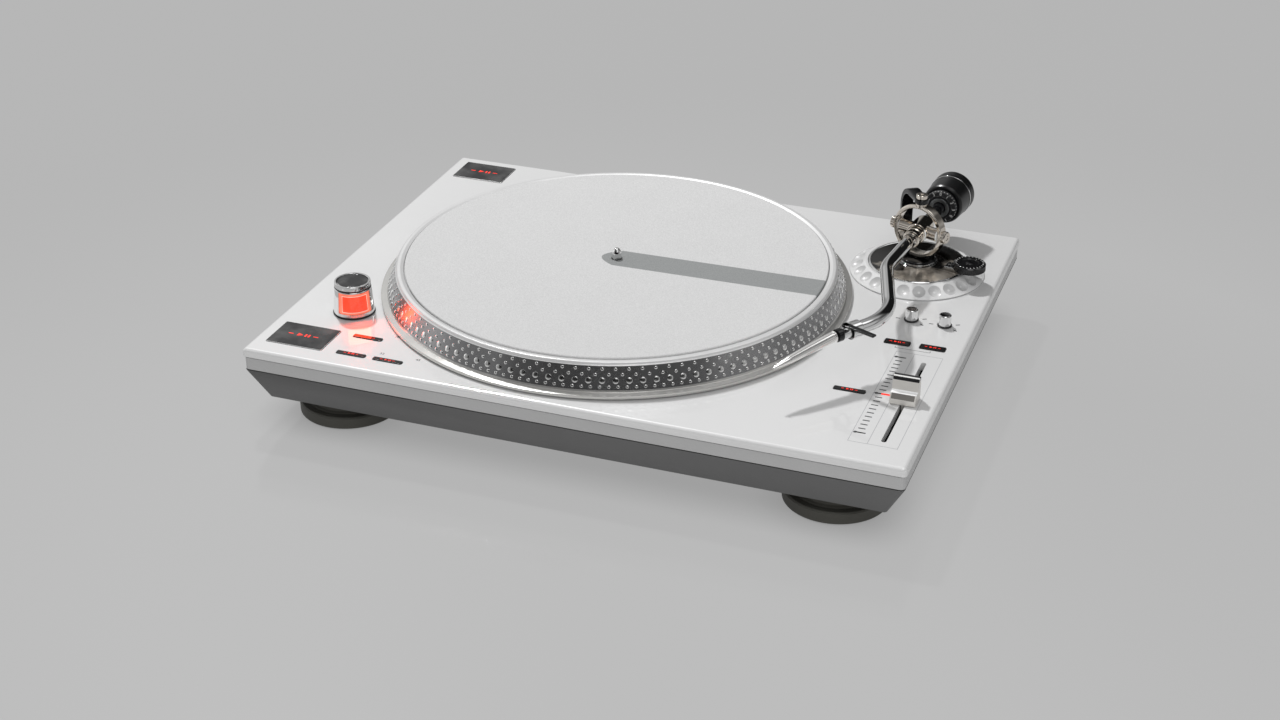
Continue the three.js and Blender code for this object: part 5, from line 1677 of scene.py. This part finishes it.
@dataclass
class Arm:
    """The gimbal, the bearing block, the bent tube, the head and the counterweight."""

    height: float = 91.0
    rest_turn: float = -6.08
    gimbal_turn: float = -14.0
    tube: float = 4.75
    start: float = -19.3

    def __post_init__(self) -> None:
        """Work out the places along the arm."""
        self.swing = at(*ARM_PIVOT, self.height, self.rest_turn)
        self.cross = self.swing @ rolled(self.gimbal_turn)
        self.bends = ((40.7, 44.0, 22.1), (44.8, 47.9, -50.8))
        self.last = 9.0
        self.head = self.swing @ self.end()

    def end(self) -> Matrix:
        """Give the place and the heading of the tube's end, seen from the pivot.

        Returns:
            The place of the tube's end.
        """
        place = at(0, self.start)
        for run, radius, turn in self.bends:
            side = math.copysign(radius, turn)
            place = place @ at(0, -run) @ at(side, 0, 0, turn) @ at(-side, 0)
        return place @ at(0, -self.last)

    def build(self) -> None:
        """Build and dress the whole arm."""
        self.gimbal()
        self.bearing()
        self.pipe()
        self.collar()
        self.shell()
        self.cartridge()
        self.weight()

    def gimbal(self) -> None:
        """Build the ring and the knurled nuts at its sides."""
        ring = turned("gimbal_hoop", section(17.0, 20.0, -3.5, 3.5), 128, ease=0.7, bored=True)
        pin = turned("pin", [(1.5, -22.1), (1.5, -19.7)], 24, ease=0.1)
        hoop = joined(placed(ring, lying()), pin)
        outline = [(3.4, 17.8), (4.2, 18.2), (4.2, 20.6), (3.8, 21.0), (1.4, 21.0)]
        boss = knurled(turned("hoop_boss", outline, 60, ease=0.2), 60, 18.4, 20.5, 0.2)
        hand_over(hoop, WARM_CHROME, "arm_swing_body", "chrome", "gimbal_ring", place=self.cross)
        hand_over(boss, WARM_CHROME, "arm_swing_body", "chrome", place=self.cross)
        outline = [(1.5, 12.0), (1.5, 19.6), (4.4, 19.7), (4.4, 22.4), (3.9, 23.0), (1.8, 23.0), (1.5, 22.6)]
        for name, turn in (("right", 0.0), ("left", 180.0)):
            nut = knurled(turned(f"side_nut_{name}", outline, 48, ease=0.2), 48, 19.9, 22.2, 0.25)
            place = self.cross @ rolled(turn) @ rolled(90, "Y")
            hand_over(nut, WARM_CHROME, "arm_swing_body", "chrome", f"side_pivot_{name}", place=place)

    def bearing(self) -> None:
        """Build the bearing block with its sleeve, its black tail and the silver cross barrel."""
        barrel = turned("barrel", [(7.4, -8.0), (7.4, 10.0)], 64, ease=0.8)
        outline = [(5.2, -19.0), (6.2, -18.4), (6.2, -14.0), (5.4, -13.2), (6.2, -12.4), (6.2, -6.0)]
        sleeve = turned("sleeve", outline, 64, ease=0.4)
        tail = turned("tail", [(4.2, 8.0), (4.2, 68.0)], 48, ease=0.4)
        across = turned("across", [(4.6, -16.2), (4.6, 16.2)], 48, ease=0.6)
        placed(across, rolled(self.gimbal_turn) @ rolled(90, "Y"))
        block = joined(placed(joined(barrel, sleeve, tail), lying()), across, name="bearing_barrel")

        def zone(middle: Vector, normal: Vector) -> int:
            """Choose silver for the cross barrel, black for the tail and chrome for the rest.

            Args:
                middle: The face's middle.
                normal: The face's normal; not used.

            Returns:
                The number of the face's finish.
            """
            along = abs((Matrix.Rotation(radians(-self.gimbal_turn), 3, "Z") @ middle).x)
            if along > 7.6 and abs(middle.y) < 9.0:
                return 0
            return 2 if middle.y > 9.5 else 1

        painted(block, (SILVER, WARM_CHROME, BLACK_LACQUER), zone)
        hand_over(block, SILVER, "arm_tilt_body", "arm_silver", "bearing_block", place=self.swing)
        bead = turned("sleeve_bead", section(4.8, 5.6, -20.6, -19.2), 64, ease=0.6, bored=True)
        hand_over(bead, WARM_CHROME, "arm_tilt_body", "chrome", place=lying(self.swing))

    def pipe(self) -> None:
        """Build the bent tube, extruded along its straights and spun round its bends."""
        rest()
        turn = (radians(90), 0, 0)
        bpy.ops.mesh.primitive_circle_add(
            vertices=40, radius=self.tube, fill_type="NGON", location=(0, self.start, 0), rotation=turn
        )
        pipe = named("arm_pipe")
        place = at(0, self.start)
        with shaping(pipe, Kind.FACE):
            take_all()
            for run, radius, bend in self.bends:
                self.extend(place, run)
                place = place @ at(0, -run)
                side = math.copysign(radius, bend)
                centre = place @ at(side, 0)
                bpy.ops.mesh.spin(steps=24, angle=radians(-bend), center=centre.translation, axis=(0, 0, 1))
                place = centre @ at(0, 0, 0, bend) @ at(-side, 0)
            self.extend(place, self.last)
            take_all()
            bpy.ops.mesh.remove_doubles(threshold=POLE)
            face_out()
        hand_over(pipe, CHROME, "arm_tilt_body", "chrome", "arm_tube", place=self.swing)

    def extend(self, place: Matrix, length: float) -> None:
        """Extrude the picked end along its heading."""
        step = place.to_3x3() @ Vector((0, -length, 0))
        bpy.ops.mesh.extrude_region_move(TRANSFORM_OT_translate={"value": tuple(step)})

    def collar(self) -> None:
        """Build the knurled lock collar."""
        sides = 72
        outline = [(5.05, -3.0), (5.7, -3.0), (6.0, -2.6), (6.0, 4.6), (5.7, 5.0), (5.05, 5.0)]
        collar = turned("collar_nut", outline, sides, ease=0.15, bored=True)
        knurled(collar, sides, -2.4, 2.6, 0.22)
        place = lying(self.head)
        hand_over(collar, CHROME, "lock_collar_body", "chrome", "lock_collar", angle=25, place=place)

    def shell(self) -> None:
        """Build the head connector with its finger lift."""
        outline = [
            (4.0, -14.3), (4.4, -13.9), (4.4, -10.2), (3.9, -9.8), (3.9, -4.4), (4.4, -4.0), (4.4, -0.3),
        ]
        shell = turned("shell_plug", outline, 56, ease=0.25)
        post = turned("post", [(2.4, 0.0), (2.4, 4.7)], 32, ease=0.2)
        shell = joined(placed(shell, lying()), placed(post, at(0, -6.18)))
        painted(
            shell,
            (BLACK_LACQUER, CHROME),
            lambda middle, normal: -9.9 < middle.y < -4.3 and middle.xz.length < 4.2,
        )
        hand_over(shell, BLACK_LACQUER, "arm_tilt_body", "black_satin", "headshell", place=self.head)
        blade = slab("blade", (25.0, 4.6, 1.3), (10.8, 0, 5.55), ease=0.35)
        with shaping(blade):
            pick(blade, Kind.VERT, lambda place, normal: place.x > 20)
            bpy.ops.transform.resize(value=(1, 0.8, 1), center_override=(20, 0, 5.6))
        root = turned("root", [(2.4, 5.0), (2.4, 6.2)], 32, ease=0.25)
        lift = joined(blade, root, name="lift_blade")
        seat = at(0, -6.18, 0, 12.0, self.head)
        hand_over(lift, BLACK_LACQUER, "arm_tilt_body", "black_satin", "finger_lift", place=seat)

    def cartridge(self) -> None:
        """Build the slim cartridge, its nose and the stylus."""
        nose = self.head @ at(0, -15.087) @ rolled(7.0, "X")
        outline = [
            (2.6, -38.0), (2.75, -37.6), (3.25, -20.0), (3.5, -8.0), (3.55, -2.4), (3.2, -1.9),
            (3.2, -1.2), (3.6, -0.8), (3.6, 0.0),
        ]
        body = placed(turned("slim_body", outline, 48, ease=0.35), lying())
        self.dropped(body)
        hand_over(body, WHITE_METAL, "arm_tilt_body", "arm_silver", "cartridge", place=nose)
        outline = [(0.35, -51.3), (0.8, -50.4), (1.7, -45.4), (2.35, -40.4), (2.6, -38.4), (2.6, -38.2)]
        tip = placed(turned("tip", outline, 40, ease=0.5), lying())
        self.dropped(tip)
        needle = placed(turned("needle", [(0.25, -3.4), (0.6, 0.5)], 20, ease=0), at(0, -48.2, 1.0))
        tip = joined(tip, needle, name="stylus_tip")
        hand_over(tip, WHITE_METAL, "arm_tilt_body", "arm_silver", "stylus", place=nose)

    def dropped(self, piece: Piece) -> None:
        """Bow the slim body a little, more and more towards its tip.

        Args:
            piece: The piece, lying along Y.
        """
        for vertex in piece.data.vertices:
            share = max(0.0, -vertex.co.y / 51.3)
            vertex.co.z = vertex.co.z * (1.08 - 0.25 * share) - 1.6 * share**2

    def weight(self) -> None:
        """Build the carrier, the counterweight with its trim and the force dial."""
        place = lying(self.swing)
        carrier = turned("carrier_sleeve", section(4.5, 7.2, 42.0, 74.0), 64, bored=True)
        hand_over(carrier, ZINC, "weight_carrier_body", "steel", "weight_carrier", place=place)
        sides = 144
        outline = [
            (7.5, 48.4), (13.4, 48.4), (14.2, 49.0), (14.85, 50.4), (15.6, 65.6), (15.95, 66.0),
            (15.95, 67.2), (15.3, 67.4), (15.3, 68.0), (16.0, 68.2), (16.0, 75.0), (15.2, 76.0),
            (12.5, 76.0), (12.5, 72.0), (7.5, 72.0),
        ]
        weight = turned("balance_weight", outline, sides, ease=0.4, bored=True)
        knurled(weight, sides, 68.3, 74.8, 0.3)

        def trim(middle: Vector, normal: Vector) -> bool:
            """Tell the bright bead and the bright rear edge."""
            return middle.xy.length > 12.6 and (65.8 < middle.z < 67.4 or middle.z > 74.9)

        painted(weight, (WEIGHT_LACQUER, CHROME), trim)
        body = "counterweight_body"
        hand_over(weight, WEIGHT_LACQUER, body, "weight_lacquer", "counterweight", angle=25, place=place)
        outline = [
            (7.5, 42.6), (9.0, 42.6), (9.2, 43.2), (11.6, 43.6),
            (12.0, 44.2), (12.0, 47.6), (11.6, 48.1), (7.5, 48.1),
        ]
        dial = turned("force_ring", outline, 120, ease=0.2, bored=True)
        hand_over(dial, BLACK_NYLON, "force_dial_body", "black_satin", "force_dial", place=place)
        tick = slab("force_ticks", (0.3, 1.5, 0.06), (0, 0, 0))
        ticks = ringed(tick, 32, at(0, 44.9, 12.0), axis="Y")
        words = []
        for step, word in enumerate(("0", "1", "2", "3") * 3):
            seat = rolled(step * 30, "Y") @ at(0, 43.38, 10.3) @ rolled(80.5, "X")
            words.append(placed(number(word, 3.1), seat))
        scale = joined(ticks, *words, name="force_scale")
        hand_over(scale, WHITE_INK, "force_dial_body", "arm_silver", place=self.swing)


@dataclass
class Inside:
    """The sockets at the back and the works inside the case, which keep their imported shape."""

    def build(self) -> None:
        """Dress the works and refine the sockets that show."""
        inlet = refined("inlet_shell", "mains_inlet", 0.25)
        hand_over(inlet, BLACK_NYLON, "chassis", "black_satin", "mains_inlet")
        panel = refined("signal_plate", "signal_panel", 0.2)
        hand_over(panel, ZINC, "chassis", "brass", "signal_panel")
        works = {
            ZINC: (
                "case_screw_front_left", "case_screw_front_right", "case_screw_rear_left",
                "case_screw_rear_right", "motor_plate", "transformer",
            ),
            FERRITE: ("rotor_magnet",),
            BRASS: ("spindle_bearing",),
            COPPER: ("motor_stator",),
            BLACK_NYLON: ("power_switch", "fader_track"),
            CIRCUIT: ("button_board_left", "button_board_rear", "control_board", "main_board"),
        }
        for finish, nodes in works.items():
            for node in nodes:
                dress_node(node, finish)
            log.info("%s: %d solids dressed", finish.name, len(nodes))


@dataclass(frozen=True)
class Zone:
    """A round patch of the room that shows in mirrors: where it is, how wide and how bright."""

    around: float
    above: float
    inner: float
    outer: float
    level: float

    def share(self, tree: Tree, way: Socket) -> Socket:
        """Give one inside the patch and zero outside it, with a soft border.

        Args:
            tree: The world's node tree.
            way: The direction that is looked in.

        Returns:
            The share of the patch.
        """
        heading = Vector((1, 0, 0))
        heading.rotate(Matrix.Rotation(radians(-self.above), 3, "Y"))
        heading.rotate(Matrix.Rotation(radians(self.around), 3, "Z"))
        settings = {"operation": "DOT_PRODUCT", 1: tuple(heading)}
        facing = add_node(tree, "ShaderNodeVectorMath", settings, {0: way}).outputs["Value"]
        settings = {
            "interpolation_type": "SMOOTHSTEP",
            "From Min": math.cos(radians(self.outer)),
            "From Max": math.cos(radians(self.inner)),
        }
        return add_node(tree, "ShaderNodeMapRange", settings, {"Value": facing}).outputs["Result"]


@dataclass
class Studio:
    """A pale floor, a room that shows in mirrors, four lamps and the camera."""

    lens: float = 57.696
    sensor: float = 36.0
    stand: tuple[float, float, float] = (0.44591, -1.228, 0.70435)
    pan: float = 20.316
    tilt: float = 61.716
    roll: float = -0.14
    floor_tone: str = "#b5b5b5"
    # The tone of a paler pool in front of the deck, a painted reflection of the deck
    painted_reflection_tone: str = "#bebebe"
    # The room's even light, and its dimmest and brightest tone in mirrors
    ambient: float = 0.4
    room: tuple[float, float] = (0.08, 0.46)
    # How dark the painted contact shade makes the floor beside the feet, how even its light is and how much
    # it mirrors
    painted_contact_shade: float = 0.42
    even: float = 0.92
    polish: float = 0.07
    zones: tuple[Zone, ...] = (
        Zone(-75, 24, 40, 56, 0.01),
        Zone(142, 30, 16, 29, 0.62),
        Zone(76, 12, 25, 33, 0.01),
        Zone(178, 10, 8, 26, 1.2),
        Zone(8, 22, 6, 20, 0.5),
        Zone(-60, 76, 8, 16, 2.6),
        Zone(40, 60, 8, 18, 1.4),
    )

    def build(self) -> None:
        """Set up the floor, the room, the lamps and the camera."""
        self.floor()
        self.world()
        tower = Vector((*STROBE_CENTRE, 70.0)) * MM
        turn = radians(-52)
        out = Vector((math.cos(turn), math.sin(turn), 0))
        self.lamp("key", *self.far((-0.388, 0.402, 0.829), 3.2), (0.2, 0.2), 68.0)
        self.lamp("top", *self.far((0.38, -0.46, 0.80), 1.25), (0.7, 0.7), 1.4)
        self.lamp("front", *self.far((0.30, -0.93, 0.20), 2.2), (1.0, 1.0), 12.0, mirrored=False)
        # A tiny one before the lit window, whose glow falls on the deck and the platter
        self.lamp("window_glow", tower + out * 15.5 * MM, -out, (16 * MM, 12 * MM), 0.0075, "#ff4a2c")
        self.camera()
        bpy.context.scene.view_settings.view_transform = "Standard"

    def floor(self) -> None:
        """Lay the floor: a pale tone that keeps the turntable's soft shadow, with a painted reflection of the
        deck in a paler pool before it and a painted contact shade beside the case.
        """
        rest()
        bpy.ops.mesh.primitive_plane_add(size=14, location=(0, 0, 0))
        floor = bpy.context.object
        floor.name = "studio_floor"
        material = bpy.data.materials.new("floor_coat")
        material.use_nodes = True
        tree = material.node_tree
        shader = tree.nodes["Principled BSDF"]
        shader.inputs["Base Color"].default_value = linear(self.floor_tone)
        shader.inputs["Roughness"].default_value = 0.6
        place = add_node(tree, "ShaderNodeTexCoord").outputs["Object"]
        # The paler pool in front of the deck is a painted reflection; the same share limits the floor's thin
        # mirror to near the turntable
        settings = {"operation": "DISTANCE", 1: (0.12, -0.25, 0)}
        away = add_node(tree, "ShaderNodeVectorMath", settings, {0: place}).outputs["Value"]
        settings = {"interpolation_type": "SMOOTHSTEP", "From Min": 0.3, "From Max": 0.85}
        share = add_node(tree, "ShaderNodeMapRange", settings, {"Value": away}).outputs["Result"]
        tone = mixed(tree, linear(self.painted_reflection_tone), linear(self.floor_tone), share)
        # Painted contact shade: the emitted tone darkens where ambient occlusion finds the case near
        occlusion = add_node(tree, "ShaderNodeAmbientOcclusion", {"samples": 12, "Distance": 0.028})
        shade = sums(tree, "SUBTRACT", 1.0, occlusion.outputs["AO"])
        painted_contact_shade = sums(tree, "SUBTRACT", 1.0, sums(tree, "MULTIPLY", shade, self.painted_contact_shade))
        even = add_node(tree, "ShaderNodeEmission", None, {"Color": tone, "Strength": painted_contact_shade})
        ray = add_node(tree, "ShaderNodeLightPath")
        seen = sums(tree, "MAXIMUM", ray.outputs["Is Camera Ray"], ray.outputs["Is Glossy Ray"])
        seen = sums(tree, "MAXIMUM", seen, ray.outputs["Is Transmission Ray"])
        most = sums(tree, "MULTIPLY", seen, self.even)
        links = {0: most, 1: shader.outputs[0], 2: even.outputs[0]}
        plain = add_node(tree, "ShaderNodeMixShader", None, links)
        polish = add_node(tree, "ShaderNodeBsdfAnisotropic", {"Roughness": 0.12})
        near = sums(tree, "SUBTRACT", 1.0, sums(tree, "MINIMUM", sums(tree, "MULTIPLY", share, 2.2), 1.0))
        edge = add_node(tree, "ShaderNodeFresnel", {"IOR": 1.35})
        thin = sums(tree, "MULTIPLY", sums(tree, "MINIMUM", edge.outputs[0], self.polish), near)
        links = {0: thin, 1: plain.outputs[0], 2: polish.outputs[0]}
        coated = add_node(tree, "ShaderNodeMixShader", None, links)
        tree.links.new(coated.outputs[0], tree.nodes["Material Output"].inputs[0])
        material.cycles.emission_sampling = "NONE"
        floor.data.materials.append(material)

    def world(self) -> None:
        """Fill the studio with an even light, and give mirrors a room with dark and bright sides."""
        world = bpy.data.worlds.new("studio")
        bpy.context.scene.world = world
        world.use_nodes = True
        tree = world.node_tree
        back = tree.nodes["Background"]
        back.inputs["Color"].default_value = (1, 1, 1, 1)
        world.cycles.sampling_method = "NONE"
        way = add_node(tree, "ShaderNodeTexCoord").outputs["Generated"]
        settings = {"Scale": 2.2, "Detail": 2.0}
        cloud = add_node(tree, "ShaderNodeTexNoise", settings, {"Vector": way}).outputs["Fac"]
        low, high = self.room
        settings = {"From Min": 0.35, "From Max": 0.65, "To Min": low, "To Max": high}
        room = add_node(tree, "ShaderNodeMapRange", settings, {"Value": cloud}).outputs["Result"]
        for zone in self.zones:
            share = zone.share(tree, way)
            part = sums(tree, "MULTIPLY", share, zone.level)
            room = sums(tree, "ADD", sums(tree, "MULTIPLY", room, sums(tree, "SUBTRACT", 1.0, share)), part)
        ray = add_node(tree, "ShaderNodeLightPath").outputs["Is Glossy Ray"]
        plain = sums(tree, "MULTIPLY", sums(tree, "SUBTRACT", 1.0, ray), self.ambient)
        tree.links.new(sums(tree, "ADD", plain, sums(tree, "MULTIPLY", room, ray)), back.inputs["Strength"])

    @staticmethod
    def far(heading: Sequence[float], distance: float) -> tuple[Vector, Vector]:
        """Give the place at a distance along a heading from the turntable, and the heading."""
        way = Vector(heading).normalized()
        return way * distance, way

    def lamp(
        self,
        name: str,
        place: Vector,
        back: Vector,
        size: tuple[float, float],
        power: float,
        colour: str = "#ffffff",
        mirrored: bool = True,
    ) -> None:
        """Hang a lamp with a flat face.

        Args:
            name: Its name.
            place: Where it hangs, in metres.
            back: The way that its back faces.
            size: Its width and height, in metres.
            power: Its power, in watts.
            colour: Its colour.
            mirrored: Whether it shows in mirrors.
        """
        data = bpy.data.lights.new(name, "AREA")
        data.shape = "RECTANGLE"
        data.size, data.size_y = size
        data.energy = power
        data.color = linear(colour)[:3]
        lamp = bpy.data.objects.new(name, data)
        bpy.context.scene.collection.objects.link(lamp)
        lamp.location = place
        lamp.rotation_euler = back.to_track_quat("Z", "Y").to_euler()
        lamp.visible_camera = False
        lamp.visible_glossy = mirrored

    def camera(self) -> None:
        """Stand the camera where the photograph was taken."""
        data = bpy.data.cameras.new("camera")
        data.lens = self.lens
        data.sensor_width = self.sensor
        camera = bpy.data.objects.new("camera", data)
        bpy.context.scene.collection.objects.link(camera)
        turns = rolled(self.pan) @ rolled(self.tilt, "X") @ rolled(self.roll)
        camera.matrix_world = Matrix.Translation(self.stand) @ turns
        bpy.context.scene.camera = camera


def main() -> None:
    """Build the turntable in order."""
    logging.basicConfig(level=logging.INFO, format="%(message)s")
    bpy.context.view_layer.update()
    for part in (Case(), Platter(), StrobeTower(), Controls(), ArmStand(), Arm(), Inside(), Studio()):
        part.build()
        log.info("built %s", type(part).__name__)
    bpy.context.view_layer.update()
    rest()


if __name__ == "__main__":
    main()
